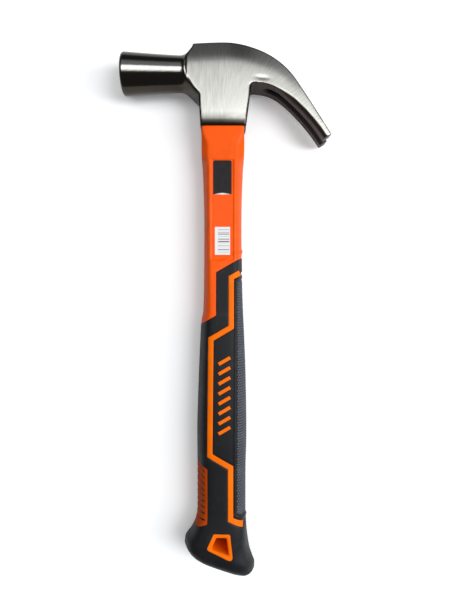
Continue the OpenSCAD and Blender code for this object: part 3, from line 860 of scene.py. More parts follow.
def jacket_relief(points):
    """Height over the form: the label panel, the rails' outer lines, the ridge along the black
    edge, and the sunk part under the grip."""
    x, y, z = points.T
    flat = smooth_step(6.0, 8.0, np.abs(z))
    panel_end = smooth_step(-83.6, -81.6, y) * smooth_step(-20.6, -21.3, y)
    panel = smooth_step(7.45, 6.35, np.abs(x)) * panel_end
    line_end = smooth_step(-84.0, -79.0, y) * smooth_step(-21.0, -24.0, y)
    line = np.exp(-((np.abs(x) - 8.95) / 0.32) ** 2) * line_end
    depth = into_grip(x, y)
    ridge = np.exp(-((depth + 3.6) / 1.1) ** 2) * smooth_step(-9.0, -2.0, x)
    ridge *= 1.0 + 1.4 * smooth_step(9.5, 11.5, x)
    sunk = smooth_step(0.15, 1.2, depth)
    return RIDGE_HIGH * ridge - PANEL_SUNK * panel * flat - LINE_SUNK * line * flat - GRIP_SUNK * sunk


middle_of_label = np.array([[0.0, -60.0, 9.2]])
print("relief at the label:", jacket_relief(middle_of_label), "mm")

# %% The jacket's skin
def grid_faces(rows, cols, ring=False):
    """Faces of a grid numbered row by row; a ring joins the last column to the first."""
    r = np.arange(rows - 1)[:, None]
    c = np.arange(cols if ring else cols - 1)[None, :]
    after = (c + 1) % cols
    faces = np.stack([r * cols + c, r * cols + after, (r + 1) * cols + after, (r + 1) * cols + c], -1)
    return faces.reshape(-1, 4)


def quarter_round(distance, radius):
    """A quarter circle's rise, 0 at the edge and 1 one radius in: sqrt(1 - (1 - t)^2)."""
    t = np.clip(distance / radius, 0, 1)
    return np.sqrt(np.clip(1 - (1 - t) ** 2, 0, 1))


JACKET_END, RIM_ROUND = 236.0, 0.9
ring = even_angles(60.0, 208)
rows = np.concatenate([np.arange(0, 2.2, 0.28), np.arange(2.2, 133.0, 0.42),
                       np.linspace(134.0, JACKET_END, 30)])
dd, aa = np.meshgrid(rows, ring, indexing="ij")
skin = form(dd, aa).reshape(-1, 3)
normal = form_normal(dd, aa).reshape(-1, 3)
skin += normal * jacket_relief(skin)[:, None]
skin -= normal * 0.5 * (1 - quarter_round(dd, RIM_ROUND)).reshape(-1, 1)
faces = grid_faces(len(rows), len(ring), ring=True)
centres = np.array([[0.0, skin[0, 1], 0.0], [0.0, skin[-1, 1], 0.0]])
c = np.arange(len(ring))
after = (c + 1) % len(ring)
last = (len(rows) - 1) * len(ring)
caps = np.concatenate([np.stack([c, after, np.full_like(c, len(skin))], -1)[:, ::-1],
                       np.stack([last + c, last + after, np.full_like(c, len(skin) + 1)], -1)])
jacket = make_piece("handle_jacket_skin", np.concatenate([skin, centres]), [faces, caps],
                    "orange_plastic", "handle_jacket", 60.0)

# %% [markdown]
# ## The soft grip
# The black grip is a second moulding, shot over the jacket. It is a sleeve about 2 mm thick, and
# its upper end is the zigzag. The sleeve could be a full tube cut by a Boolean, but the cut edge
# would be ragged and sharp. Instead grids meet along the zigzag's upright line: one pair wraps
# the claw side and starts high, one grid wraps the face side and starts low, and their rows
# follow the edge, so that it can be rounded over as the real lip is.

# %% Edges of the palm strip and the finger pad
PALM_X, PALM_TOP, PALM_LOW = 9.6, -95.6, -237.0
END_FALL, END_COS = 0.42, 0.92        # the pads' ends slant less than the zigzag


def palm_edge_x(y):
    """Left edge of the palm strip: it leans in a little towards the butt."""
    return np.interp(-y, [95.0, 107.0, 237.0], [9.6, 9.5, 8.85])


def palm_top(x):
    """Upper edge of the palm strip."""
    return PALM_TOP + (x - PALM_X) * FALL


def palm_low(x):
    """Lower edge of the palm strip."""
    return PALM_LOW - END_FALL * (x - 8.9)


def into_palm(x, y):
    """Distance into the palm strip's area from its edge, positive inside."""
    slant = (palm_top(x) - y) * SLANT_COS
    return np.minimum(np.minimum(x - palm_edge_x(y), slant), (y - palm_low(x)) * END_COS)


PAD_X = -8.95                         # right edge of the finger pad


def pad_top(x):
    """Upper edge of the finger pad."""
    return -209.7 + END_FALL * (PAD_X - x)


def pad_low(x):
    """Lower edge of the finger pad."""
    return -243.0 - END_FALL * (PAD_X - x)


def into_pad(x, y):
    """Distance into the finger pad's area, positive inside."""
    return np.minimum(PAD_X - x, END_COS * np.minimum(pad_top(x) - y, y - pad_low(x)))


print("finger pad: from", pad_top(PAD_X), "to", pad_low(PAD_X), "mm at its right edge")

# %% The stripe's line, and the relief of the grip
STRIPE_W = 3.3
LIP_HIGH, GROOVE_DEEP, SEAT_DEEP = 0.5, 0.75, 0.35
stripe_line = np.array([[10.9, -90.2], [5.45, -93.3], [5.4, -123.55], [-7.0, -130.8], [-7.6, -201.3],
                        [4.95, -208.6], [4.95, -240.0], [12.6, -243.9]])


def into_stripe(x, y):
    """Distance into the stripe's band: half its width, less the distance to its nearest leg."""
    nearest = np.full(x.shape, 99.0)
    for (ax, ay), (bx, by) in zip(stripe_line[:-1], stripe_line[1:]):
        way = np.array([bx - ax, by - ay])
        t = np.clip(((x - ax) * way[0] + (y - ay) * way[1]) / (way ** 2).sum(), 0, 1)
        nearest = np.minimum(nearest, np.hypot(x - ax - t * way[0], y - ay - t * way[1]))
    return STRIPE_W / 2 - nearest


def grip_relief(points):
    """Rolled edge at the zigzag, a lip and a groove round the palm strip, and sunk seats under
    the finger pad and the stripes."""
    x, y = points.T[:2]
    edge = into_grip(x, y)
    rolled = 0.34 * quarter_round(edge, 0.6) - 0.1
    palm = into_palm(x, y)
    lip = LIP_HIGH * np.exp(-((palm + 1.45) / 0.7) ** 2)
    lip *= 1 - smooth_step(-104.0, -98.0, y) * smooth_step(10.0, 12.0, x)
    groove = -GROOVE_DEEP * smooth_step(-0.45, 0.05, palm)
    pad = -SEAT_DEEP * smooth_step(0.0, 0.4, into_pad(x, y))
    seat = smooth_step(-0.1, 0.35, into_stripe(x, y))
    return (rolled + lip + groove + pad) * (1 - seat) - SEAT_DEEP * seat


print("relief at the first leg of the stripe:", grip_relief(np.array([[5.4, -110.0, 9.0]])).round(2))


# %% Rows and columns of the sleeve
def spaced(total, fine, coarse, reach):
    """Steps from 0 to total: fine near 0, growing to coarse past the reach."""
    steps = [0.0]
    while steps[-1] < total:
        steps.append(steps[-1] + fine + (coarse - fine) * min(1.0, steps[-1] / reach))
    return np.array(steps) / steps[-1]


GRIP_STEP = 0.68
STEP_D = 116.4
LAST_D = SECTIONS[-1, 0]


def step_angle(d):
    """Angle of the zigzag's upright line, held below its lower end."""
    return angle_at(np.minimum(d, STEP_D), STEP_X)


def column_angle(d, u):
    """Claw side for u from -1 to 1, face side for u from 1 to 3, and 1 on the upright line."""
    a = step_angle(d)
    return np.where(np.abs(u) <= 1, u * a, a + (u - 1) * (math.pi - a))


def to_edge(u, guess):
    """Distance down at which each column meets the black edge."""
    d = np.full(u.shape, guess)
    for _ in range(14):
        x, y = form(d, column_angle(d, u))[..., :2].T
        own_side = np.where(np.abs(u) <= 1, np.maximum(x, STEP_X), np.minimum(x, STEP_X - 1e-6))
        d = d + 0.7 * (y - edge_height(own_side))
    return d


def column_list():
    """Columns from the claw's side to the upright line: finer by the palm strip and the line."""
    dense = np.linspace(0, 1, 2001)
    p = form(150.0, column_angle(np.full(dense.shape, 150.0), dense))
    by_palm = 0.62 * np.exp(-((p[:, 0] - 8.3) / 1.7) ** 2)
    by_line = 0.7 * np.exp(-((p[:, 0] - STEP_X) / 0.5) ** 2)
    want = GRIP_STEP * (1 - by_palm - by_line)
    pace = np.concatenate([[0], np.cumsum(np.diff(run_length(p)) / want[1:])])
    return np.interp(np.linspace(0, pace[-1], int(pace[-1]) + 1), pace, dense)


claw_half = column_list()
claw_u = np.concatenate([-claw_half[:0:-1], claw_half])
face_u = 1 + 2 * spaced(1.0, 0.012, 0.022, 0.15)
face_u = np.concatenate([face_u[face_u < 2], 4 - face_u[face_u < 2][::-1]])
down_v = spaced(LAST_D - STEP_D, 0.14, GRIP_STEP, 1.6)
high_v = spaced(26.4, 0.14, GRIP_STEP, 1.6)

top_d = to_edge(claw_u, 92.0)
upper = top_d + (STEP_D - top_d) * high_v[:, None]
lower = STEP_D + (LAST_D - STEP_D) * down_v[:, None] + 0 * claw_u
face_top = to_edge(face_u, 120.0)
face_top[[0, -1]] = STEP_D
face_rows = face_top + (LAST_D - face_top) * down_v[:, None]
print("grip:", len(claw_u), "columns on the claw side,", len(face_u), "on the face side")

# %% Helpers that join grids and close them
def weld(points, faces, reach):
    """Points closer than the reach become one, and faces that fold up are dropped."""
    keys = np.round(points / reach).astype(np.int64)
    _, first, back = np.unique(keys, axis=0, return_index=True, return_inverse=True)
    back = back.reshape(-1)
    faces = back[faces]
    same = (faces[:, 0] == faces[:, 2]) | (faces[:, 1] == faces[:, 3])
    return points[first], faces[~same]


def joined(sheets):
    """Sheets of points and faces as one: each sheet's faces count on from the points before."""
    starts = np.cumsum([0] + [len(points) for points, _ in sheets])
    return (np.concatenate([points for points, _ in sheets]),
            np.concatenate([faces + start for (_, faces), start in zip(sheets, starts)]))


def edge_loops(faces):
    """Edges that only one face uses, each in the direction in which that face runs."""
    ends = np.stack([faces, np.roll(faces, -1, 1)], -1).reshape(-1, 2)
    ends = ends[ends[:, 0] != ends[:, 1]]
    most = ends.max() + 1
    forward = ends[:, 0] * most + ends[:, 1]
    backward = ends[:, 1] * most + ends[:, 0]
    return ends[~np.isin(forward, backward)]


def thicken(points, normals, faces, depth):
    """A skin becomes a closed slab: an inner copy at a depth, turned over, and walls round it."""
    inner = points - normals * depth
    n = len(points)
    rim = edge_loops(faces)
    walls = np.stack([rim[:, 1], rim[:, 0], rim[:, 0] + n, rim[:, 1] + n], -1)
    return np.concatenate([points, inner]), np.concatenate([faces, faces[:, ::-1] + n, walls])


def split_faces(faces):
    """Four-sided faces with two neighbouring corners in one point become triangles."""
    for k in range(4):
        folded = faces[:, k] == faces[:, (k + 1) % 4]
        if folded.any():
            return split_faces(faces[~folded]) + [np.delete(faces[folded], k, axis=1)]
    return [faces]


one_square = np.array([[0, 1, 2, 3]])
print("free edges of one square:", len(edge_loops(one_square)))

# %% The grids, welded, rolled and given a wall
GRIP_WALL = 1.9
sheets = []
middle = form(LAST_D, np.array([0, math.pi])).mean(0)
for rows_d, cols_u in ((upper, claw_u), (lower, claw_u), (face_rows, face_u)):
    uu = np.broadcast_to(cols_u, rows_d.shape)
    sheet = form(rows_d, column_angle(rows_d, uu))
    if rows_d[-1, 0] == LAST_D:
        sheet = np.concatenate([sheet, np.broadcast_to(middle, (1,) + sheet.shape[1:])])
    sheets.append((sheet.reshape(-1, 3), grid_faces(*sheet.shape[:2])))
points, faces = weld(*joined(sheets), 0.004)
normals = point_normals(points, faces)
points = points + normals * grip_relief(points)[:, None]
print("grip skin:", len(points), "points;", len(edge_loops(faces)), "edge pieces")
points, faces = thicken(points, normals, faces, GRIP_WALL)
grip = make_piece("soft_grip_sleeve", points, split_faces(faces), "black_rubber", "soft_grip", 50.0)

# %% [markdown]
# ## Inlays: stripes, bars and pads
# The orange stripes and the ribbed pads are a third material in pockets of the grip. Each is a
# patch of the form: a flat drawing of the piece, seen from the side, gives x and y, the form gives
# the height there, and a closed slab follows. Drawing them flat keeps every edge as straight as
# it looks on the real grip, although the surface below is curved.

# %% From a flat drawing to the form
def meet(x, y):
    """Distance and near-side angle at which the form passes through x, y: damped corrections."""
    x, y = np.broadcast_arrays(np.asarray(x, float), np.asarray(y, float))
    d = -y.copy()
    for _ in range(14):
        a = angle_at(d, x)
        d = d + 0.75 * (form(d, a)[..., 1] - y)
    return d, a


def on_form(x, y, lift=0.0, near=True):
    """Points and normals of the form at x, y on the near or the far side, lifted outwards."""
    d, a = meet(x, y)
    p, n = form(d, a), form_normal(d, a)
    n = n * np.sign((n[..., 2:] > 0) - 0.5)
    p = p + n * np.asarray(lift)[..., None]
    turn = np.array([1, 1, 1 if near else -1])
    return p * turn, n * turn


def rolled_slab(p, n, depth):
    """Closed slab from a grid of points: walls round it, and a back at a depth."""
    rows, cols = p.shape[:2]
    faces = grid_faces(rows, cols)
    flat_p, flat_n = p.reshape(-1, 3), n.reshape(-1, 3)
    a, b, c = flat_p[faces[:, 0]], flat_p[faces[:, 1]], flat_p[faces[:, 3]]
    turned = (np.cross(b - a, c - a) * flat_n[faces[:, 0]]).sum() < 0
    faces = faces[:, ::-1] if turned else faces
    return thicken(flat_p, flat_n, faces, depth)


def rolled(distance, radius, height):
    """Height over the form near an edge: a quarter round of a radius, then level."""
    return height - radius * 0.8 * (1 - quarter_round(distance, radius))


print("edge of a stripe, 0 to 0.4 mm in:", rolled(np.arange(5) / 10, 0.45, 0.32).round(2))

# %% Stripes carried along their zigzag
def mitred(line, count):
    """Points along a line and its left-hand side step, mitred at corners; even in length."""
    way = np.diff(line, axis=0)
    unit = way / np.linalg.norm(way, axis=1)[:, None]
    left = np.stack([-unit[:, 1], unit[:, 0]], -1)
    both = np.concatenate([left[:1], left[:-1] + left[1:], left[-1:]])
    both[-1] = [0.0, 1.0]             # the foot ends in an upright cut
    both /= np.linalg.norm(both, axis=1, keepdims=True)
    mitre = both / (both * np.concatenate([left[:1], left])).sum(1, keepdims=True)
    total = run_length(line)
    bends = total[1:-1]
    at = np.unique(np.concatenate([np.linspace(0, total[-1], count), total, bends - 0.05, bends + 0.05]))
    place = np.stack([np.interp(at, total, line[:, k]) for k in range(2)], -1)
    step = np.stack([np.interp(at, total, mitre[:, k]) for k in range(2)], -1)
    return place, step, at, total[-1]


def stripe(name, node, near):
    """A band w wide across the mitred line, rounded over at both edges and both ends."""
    place, step, at, total = mitred(stripe_line, 300)
    half_w = np.array([0.4, 0.76, 0.88, 0.95, 0.985, 1])
    w = np.concatenate([-half_w[::-1], [0], half_w]) * STRIPE_W / 2
    x = place[:, None, 0] + step[:, None, 0] * w
    y = place[:, None, 1] + step[:, None, 1] * w
    x = np.minimum(x, form(down_for(y, 0.0 * y), 0.0)[..., 0] - 0.25)
    edge = np.minimum(STRIPE_W / 2 - np.abs(w)[None, :], np.minimum(at, total - at)[:, None])
    p, n = on_form(x, y, rolled(edge, 0.45, 0.32), near)
    return make_piece(name, *rolled_slab(p, n, 1.1), "orange_rubber", node, 50.0)


near_stripe = stripe("near_stripe_inlay", "near_stripe", True)
far_stripe = stripe("far_stripe_inlay", "far_stripe", False)

# %% Raised bars
bars = local_span("grip_bars")
BAR_N, BAR_L, BAR_W, BAR_TILT = 8, 8.4, 2.4, math.radians(30)
bar_x = (bars[0][0] + bars[1][0]) / 2
bar_half_h = (BAR_L * math.sin(BAR_TILT) + BAR_W * math.cos(BAR_TILT)) / 2
bar_y = np.linspace(bars[1][1] - bar_half_h, bars[0][1] + bar_half_h, BAR_N)


def bar_grid(near):
    """All bars of one side at once: rectangles whose points crowd at the edges, as sines of even
    steps, swung to 30 degrees and laid on the form."""
    u, v = np.meshgrid(np.linspace(-1, 1, 19), np.linspace(-1, 1, 11), indexing="ij")
    u, v = np.sin(u * math.pi / 2), np.sin(v * math.pi / 2)
    l, w = u * BAR_L / 2, v * BAR_W / 2
    x = bar_x + l * math.cos(BAR_TILT) - w * math.sin(BAR_TILT)
    y = bar_y[:, None, None] + l * math.sin(BAR_TILT) + w * math.cos(BAR_TILT)
    edge = np.minimum(BAR_L / 2 - np.abs(l), BAR_W / 2 - np.abs(w))
    lift = np.broadcast_to(rolled(edge, 0.5, 0.34), y.shape)
    p, n = on_form(np.broadcast_to(x, y.shape), y, lift, near)
    return [rolled_slab(p[k], n[k], 1.0) for k in range(BAR_N)]


bars_piece = make_piece("grip_bars_inlay", *joined(bar_grid(True) + bar_grid(False)),
                        "orange_rubber", "grip_bars", 50.0)

# %% [markdown]
# ## Pads that wrap a side
# The ribbed finger pad wraps the face side and the textured palm strip wraps the claw side, from
# one edge on the near side to the same edge on the far side. Their grids go round the section by
# angle, and their rows run between an upper and a lower edge. The ribs and the fine scales are
# real relief, because the light along the handle shows them.

# %% A patch that wraps one side
def wrap(edge_x, top_y, low_y, centre, rows, cols):
    """Grid between two edges: v runs down, u runs from the near edge round to the far edge."""
    u, v = np.meshgrid(cols, rows)
    table_y = np.linspace(low_y(edge_x(-240.0)) - 8.0, top_y(edge_x(-90.0)) + 8.0, 240)
    table_a = meet(edge_x(table_y), table_y)[1]
    x = 0 * u + edge_x(-150.0)
    for _ in range(16):
        y = top_y(x) * (1 - v) + low_y(x) * v
        a = centre + (np.interp(y, table_y, table_a) - centre) * u
        x = 0.5 * x + 0.5 * form(down_for(y, a), a)[..., 0]
    d = down_for(y, a)
    return form(d, a), form_normal(d, a), y, a


def even_with_edges(count, edge):
    """Steps from -1 to 1 with extra ones close to both ends."""
    return np.unique(np.concatenate([np.linspace(-1, 1, count), 1 - np.array(edge), np.array(edge) - 1]))


print("steps with finer ends:", even_with_edges(5, [0.1]))

# %% Finger pad with its ribs
pad_cols = even_with_edges(120, [0.01, 0.025, 0.05])
pad_rows = (even_with_edges(170, [0.006, 0.014, 0.028]) + 1) / 2
p, n, y, a = wrap(lambda y: PAD_X + 0 * y, pad_top, pad_low, math.pi, pad_rows, pad_cols)
x = p[..., 0]
edge = into_pad(x, y)
# height of each groove's right end, and how fast it rises to the left: a fan, then level ribs
RIBS = np.array([[-212.1, 0.95], [-215.7, 0.8], [-219.6, 0.67], [-223.4, 0.55], [-226.4, 0.3],
                 [-229.6, 0.0], [-233.1, 0.0], [-236.9, 0.0], [-240.6, 0.0]])
RIB_END, RIB_HALF = -10.8, 0.5
rib_y = RIBS[:, :1, None] + RIBS[:, 1:, None] * (RIB_END - x)[None]
beyond = np.maximum(x - RIB_END + RIB_HALF, 0.0)
groove_relief_and_shade = np.exp(-(((y - rib_y) ** 2 + beyond ** 2) / RIB_HALF ** 2) ** 1.3).max(0)
groove_relief_and_shade *= 1 - 0.6 * smooth_step(-12.5, -15.0, x)
lift = rolled(edge, 0.45, 0.16) - 0.6 * groove_relief_and_shade * smooth_step(0.5, 1.4, edge)
# The groove mark also paints the pad's grooves a darker orange: painted shade.
pad = make_piece("finger_pad_ribbed", *rolled_slab(p + n * lift[..., None], n, 1.3),
                 "rib_rubber", "finger_pad", 50.0, {"groove": np.tile(groove_relief_and_shade.ravel(), 2)})

# %% Palm strip with its scales
palm_cols = even_with_edges(74, [0.01, 0.03, 0.06])
palm_rows = (even_with_edges(430, [0.002, 0.006]) + 1) / 2
p, n, y, a = wrap(palm_edge_x, palm_top, palm_low, 0.0, palm_rows, palm_cols)
edge = into_palm(p[..., 0], y)
SCALE_X, SCALE_Y, PALM_RADIUS = 1.4, 1.6, 13.2
bands = y / SCALE_Y
stagger = np.mod(np.floor(bands), 2) * 0.5
cell_x = np.mod(a * PALM_RADIUS / SCALE_X + stagger + 0.35 * np.mod(bands, 1), 1) - 0.5
cell_y = np.mod(bands, 1) - 0.5
scales = np.clip(1 - (np.abs(cell_x) / 0.5) ** 2.4 - (np.abs(cell_y) / 0.5) ** 2.4, 0, 1)
lift = rolled(edge, 0.5, 0.02) + 0.24 * scales * smooth_step(0.3, 0.8, edge)
# The same numbers paint the tips of the scales pale grey: a painted highlight.
palm = make_piece("palm_strip_scaled", *rolled_slab(p + n * lift[..., None], n, 1.2),
                  "textured_rubber", "palm_strip", 60.0, {"scales": np.tile(scales.ravel(), 2)})

# %% [markdown]
# ## Hanging hole
# The liner is a moulded tube with a flat rim on both sides and rolled lips. It is one profile
# carried round a closed outline: out at the rim, over the lip, down the tunnel, and out again on
# the far side. The inner and the outer outline have the same number of points, so the profile
# only says how far it is between the two.

# %% Rim outlines and the liner
inner_line = round_corners([[-3.6, -250.8, 0.9], [2.4, -251.0, 0.9], [3.7, -261.2, 0.8],
                            [-6.6, -257.2, 1.2]], 9)
outer_line = round_corners([[-5.4, -247.9, 1.5], [5.0, -248.2, 1.5], [6.9, -266.0, 2.6],
                            [-9.9, -257.5, 1.7]], 9)
# rows of: how far out from the inner to the outer line, and height over the grip
LINER = np.array([[1.0, -1.6], [1.0, -0.6], [1.0, -0.12], [0.985, 0.06], [0.95, 0.13], [0.88, 0.16],
                  [0.6, 0.16], [0.34, 0.14], [0.2, 0.02], [0.1, -0.22], [0.035, -0.62], [0.0, -1.2],
                  [-0.02, -3.0], [-0.02, -8.0]])
out, height = LINER.T
apart = (outer_line - inner_line)[:, None]
flat = inner_line[:, None] + apart * out[None, :, None]
measured_at = inner_line[:, None] + apart * np.maximum(out, 0.3)[None, :, None]
face_z = on_form(measured_at[..., 0], measured_at[..., 1])[0][..., 2]
side = np.concatenate([flat, (face_z + height)[..., None]], -1)
far_side = side[:, ::-1] * np.array([1, 1, -1])
loop = np.concatenate([side, far_side], 1).transpose(1, 0, 2)
n_ring = loop.shape[1]
faces = grid_faces(loop.shape[0], n_ring, ring=True)
k = np.arange(n_ring)
after = (k + 1) % n_ring
last = (loop.shape[0] - 1) * n_ring
faces = np.concatenate([faces, np.stack([last + k, last + after, after, k], -1)])
liner = make_piece("hang_hole_rim", loop.reshape(-1, 3), faces[:, ::-1], "orange_rubber",
                   "hang_hole_liner", 60.0)

# %% Hole through the grip's wall
cutter_line = inner_line + apart[:, 0] * 0.9
prism = np.concatenate([np.column_stack([cutter_line, np.full(n_ring, z)]) for z in (-20.0, 20.0)])
cutter_mesh = bpy.data.meshes.new("hole_cutter")
walls = np.stack([k, after, after + n_ring, k + n_ring], -1)
cutter_mesh.from_pydata((prism + zero) / 1000.0, [],
                        walls[:, ::-1].tolist() + [k.tolist(), (k + n_ring)[::-1].tolist()])
cutter = bpy.data.objects.new("hole_cutter", cutter_mesh)
bpy.context.scene.collection.objects.link(cutter)


def cut_away(piece, tool):
    """Boolean difference, applied: the piece's mesh is replaced by the cut one."""
    cut = piece.modifiers.new("cut", "BOOLEAN")
    cut.operation, cut.object, cut.solver = "DIFFERENCE", tool, "EXACT"
    evaluated = piece.evaluated_get(bpy.context.evaluated_depsgraph_get())
    made = bpy.data.meshes.new_from_object(evaluated)
    piece.modifiers.clear()
    piece.data = made
    return len(made.polygons)


print("grip after the cut:", cut_away(grip, cutter), "faces")
bpy.data.objects.remove(cutter)

# %% Label as a thin slab that follows the panel
LABEL = local_span("label")
FILM, CORNER = 0.17, 1.2              # how far the film stands out, and its corners' radius
l_half = (LABEL[1][0] - LABEL[0][0]) / 2
label_top, label_low = LABEL[1][1], LABEL[0][1]
u = np.sin(np.linspace(-1, 1, 25) * math.pi / 2)
END_PART = 3.0                        # the rows are finer for this far from both ends
by_end = spaced(END_PART, 0.05, 0.4, 1.0) * END_PART
y = np.concatenate([label_low + by_end, np.linspace(label_low + 3.5, label_top - 3.5, 90),
                    label_top - by_end[::-1]])
to_end = np.minimum(y - label_low, label_top - y)
row_half = l_half - CORNER * (1 - quarter_round(to_end, CORNER))
x = row_half[:, None] * u
p, n = on_form(x, np.broadcast_to(y[:, None], x.shape), np.full(x.shape, FILM - PANEL_SUNK))
label = make_piece("front_label", *rolled_slab(p, n, 0.3), "label_film", "label", 30.0)

# %% [markdown]
# ## Plastics and rubbers
# The jacket is a bright orange plastic with a soft sheen. The grip is a matt black rubber, and
# stripes, bars and the hole's liner are an orange rubber a little yellower than the jacket. All
# are one recipe: a colour that is faintly uneven, a fine moulded grain in the bump, and rubbed
# patches that are smoother and a little paler. So one function makes them, and each finish is one
# call with its own numbers.

# %% One recipe for moulded finishes
def moulded(name, colour, wear_and_painted_light_colour, rough, gloss, pores, relief, amount, stored=None):
    """Moulded plastic or rubber: uneven colour, grain, rubbed patches and hairline scuffs. With a
    stored number, the colour also runs on to the second colour as that number goes from 0 to 1:
    painted shade in the finger pad's grooves, a painted highlight on the palm strip's scales."""
    material, tree, shader = surface(name, Specular_IOR_Level=gloss)
    place = add(tree, "ShaderNodeTexCoord").outputs["Object"]
    grain = placed_group(tree, mould, Vector=place, Pores=pores)
    touch = placed_group(tree, handled, Vector=place, Amount=amount)
    deep, wear_and_painted_light = tuple(0.86 * c for c in colour), (*wear_and_painted_light_colour, 1)
    shade = ramp(tree, grain["Unevenness"], (0.35, deep), (0.65, colour))
    shade = mix(tree, calc(tree, "MAXIMUM", touch["Rubbed"], touch["Scuffs"]), shade, wear_and_painted_light)
    # The stored number paints light into the colour: shade in the pad's grooves, a highlight on the
    # strip's scales.
    if stored:
        number = add(tree, "ShaderNodeAttribute", attribute_name=stored).outputs["Fac"]
        shade = mix(tree, number, shade, wear_and_painted_light)
    uneven_rough = calc(tree, "MULTIPLY_ADD", grain["Unevenness"], 0.12, rough - 0.06)
    feed(tree, shader, Base_Color=shade, Normal=bumped(tree, grain["Height"], relief, 0.00005),
         Roughness=calc(tree, "MULTIPLY_ADD", touch["Rubbed"], -0.10, uneven_rough))
    print(f"{name}:", len(tree.nodes), "nodes")
    return material


# %% Jacket, grip and stripes: colour, rubbed colour; roughness, gloss, pores, relief, wear
jacket_plastic = moulded("jacket_plastic", (1.0, 0.105, 0.0), (1.0, 0.13, 0.004),
                         0.40, 0.14, 900.0, 0.25, 0.35)
grip_rubber = moulded("grip_rubber", (0.0075, 0.0077, 0.0095), (0.018, 0.019, 0.022),
                      0.50, 0.20, 1500.0, 0.6, 0.7)
stripe_rubber = moulded("stripe_rubber", (1.0, 0.175, 0.0), (1.0, 0.20, 0.004),
                        0.50, 0.08, 1300.0, 0.4, 0.4)
wear(jacket, jacket_plastic)
wear(grip, grip_rubber)
for piece in (near_stripe, far_stripe, bars_piece, liner):
    wear(piece, stripe_rubber)

# %% [markdown]
# ## Two finishes that follow their relief
# On the finger pad the grooves are painted a darker orange, as painted shade, and on the palm strip
# the tips of the scales are painted grey, as a painted highlight, while the gaps stay black. Both
# pieces store that as a number on each point, so the colour sits exactly on the relief.

# %% Ribbed pad and scaled strip
# The finger pad's orange is a darker copy of the jacket's, painted shade of the handle's face side, and
# its grooves run to a darker orange still, painted shade.
wear(pad, moulded("pad_rubber", (0.52, 0.066, 0.002), (0.32, 0.036, 0.002),
                  0.55, 0.05, 1200.0, 0.5, 0.3, stored="groove"))
# The palm strip's scale tips run to a pale blue grey, a painted highlight; the same grey is the colour of
# its handling wear.
wear(palm, moulded("strip_rubber", (0.012, 0.013, 0.015), (0.115, 0.125, 0.15),
                   0.50, 0.12, 1500.0, 0.5, 0.3, stored="scales"))

# %% [markdown]
# ## The label
# A printed film sits in the jacket's panel: a black field with round upper corners, a pale arc
# below it, and orange below that with a white patch of plain bars. The print is worked out from
# the place on the film in millimetres, so it needs no image, and it carries no words.

# %% The place on the film in millimetres, and masks made from it
film, tree, shader = surface("label_print", Roughness=0.34, Specular_IOR_Level=0.15)
place = add(tree, "ShaderNodeTexCoord").outputs["Object"]
in_mm = {"Vector": place, "Location": tuple(-zero), "Scale": (1000.0, 1000.0, 1000.0)}
flat_mm = add(tree, "ShaderNodeMapping", in_mm).outputs[0]
x_mm, y_mm = add(tree, "ShaderNodeSeparateXYZ", {0: flat_mm}).outputs[:2]


def step_up(value, edge, soft=0.06):
    """0 below the edge and 1 above it, with a short ramp between."""
    return rise(tree, value, edge - soft, edge + soft)


def both(a, b):
    """Where both masks are 1."""
    return calc(tree, "MULTIPLY", a, b)


def window(left, right, low, top):
    """1 inside a rectangle and 0 outside it."""
    masks = [both(step_up(value, start), calc(tree, "SUBTRACT", 1.0, step_up(value, end)))
             for value, start, end in ((x_mm, left, right), (y_mm, low, top))]
    return both(*masks)


# %% Label print
FIELD_LOW, ARC_RISE, ARC_HALF = -42.3, 0.9, 5.6
PATCH_LEFT, PATCH_RIGHT, PATCH_LOW, PATCH_TOP = -4.6, 4.7, -79.3, -62.2
bow = calc(tree, "MULTIPLY_ADD", both(x_mm, x_mm), -ARC_RISE / ARC_HALF ** 2, FIELD_LOW + ARC_RISE)
above_bow = step_up(calc(tree, "SUBTRACT", y_mm, bow), 0.0)
from_middle = calc(tree, "ABSOLUTE", calc(tree, "DIVIDE", x_mm, ARC_HALF))
glow = ramp(tree, from_middle, (0.0, (0.85, 0.85, 0.85)), (1.0, (0.16, 0.14, 0.14)))
pale_orange = ramp(tree, noise(tree, place, 220.0), (0.3, (1.0, 0.088, 0.0)), (0.7, (1.0, 0.10, 0.0)))
black_field = ramp(tree, noise(tree, place, 400.0), (0.3, (0.0100, 0.0085, 0.0085)),
                   (0.7, (0.0150, 0.0125, 0.0125)))
colour = mix(tree, step_up(y_mm, FIELD_LOW), pale_orange, glow)
colour = mix(tree, above_bow, colour, black_field)
white_patch = window(PATCH_LEFT, PATCH_RIGHT, PATCH_LOW, PATCH_TOP)
colour = mix(tree, white_patch, colour, (0.80, 0.80, 0.79, 1))
only_y = add(tree, "ShaderNodeCombineXYZ", {"Y": y_mm}).outputs[0]
bars_by_noise = step_up(noise(tree, only_y, 0.85, 1.5, 0.6), 0.53, 0.03)
bar_field = window(PATCH_LEFT + 1.9, PATCH_RIGHT - 0.5, PATCH_LOW + 1.2, PATCH_TOP - 0.9)
colour = mix(tree, both(bars_by_noise, bar_field), colour, (0.13, 0.12, 0.12, 1))
film_grain = placed_group(tree, mould, Vector=place, Pores=700.0)
feed(tree, shader, Base_Color=colour, Normal=bumped(tree, film_grain["Height"], 0.12, 0.00004))
wear(label, film)
print("label film:", len(tree.nodes), "nodes")

# %% [markdown]
# ## Inside the head
# The resin that holds the handle shows at the top of the eye, and the fibre core ends in it. Both
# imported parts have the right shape, so they only take a finish: a cloudy amber resin with small
# bubbles, and a core with pale fibres that run along the handle.

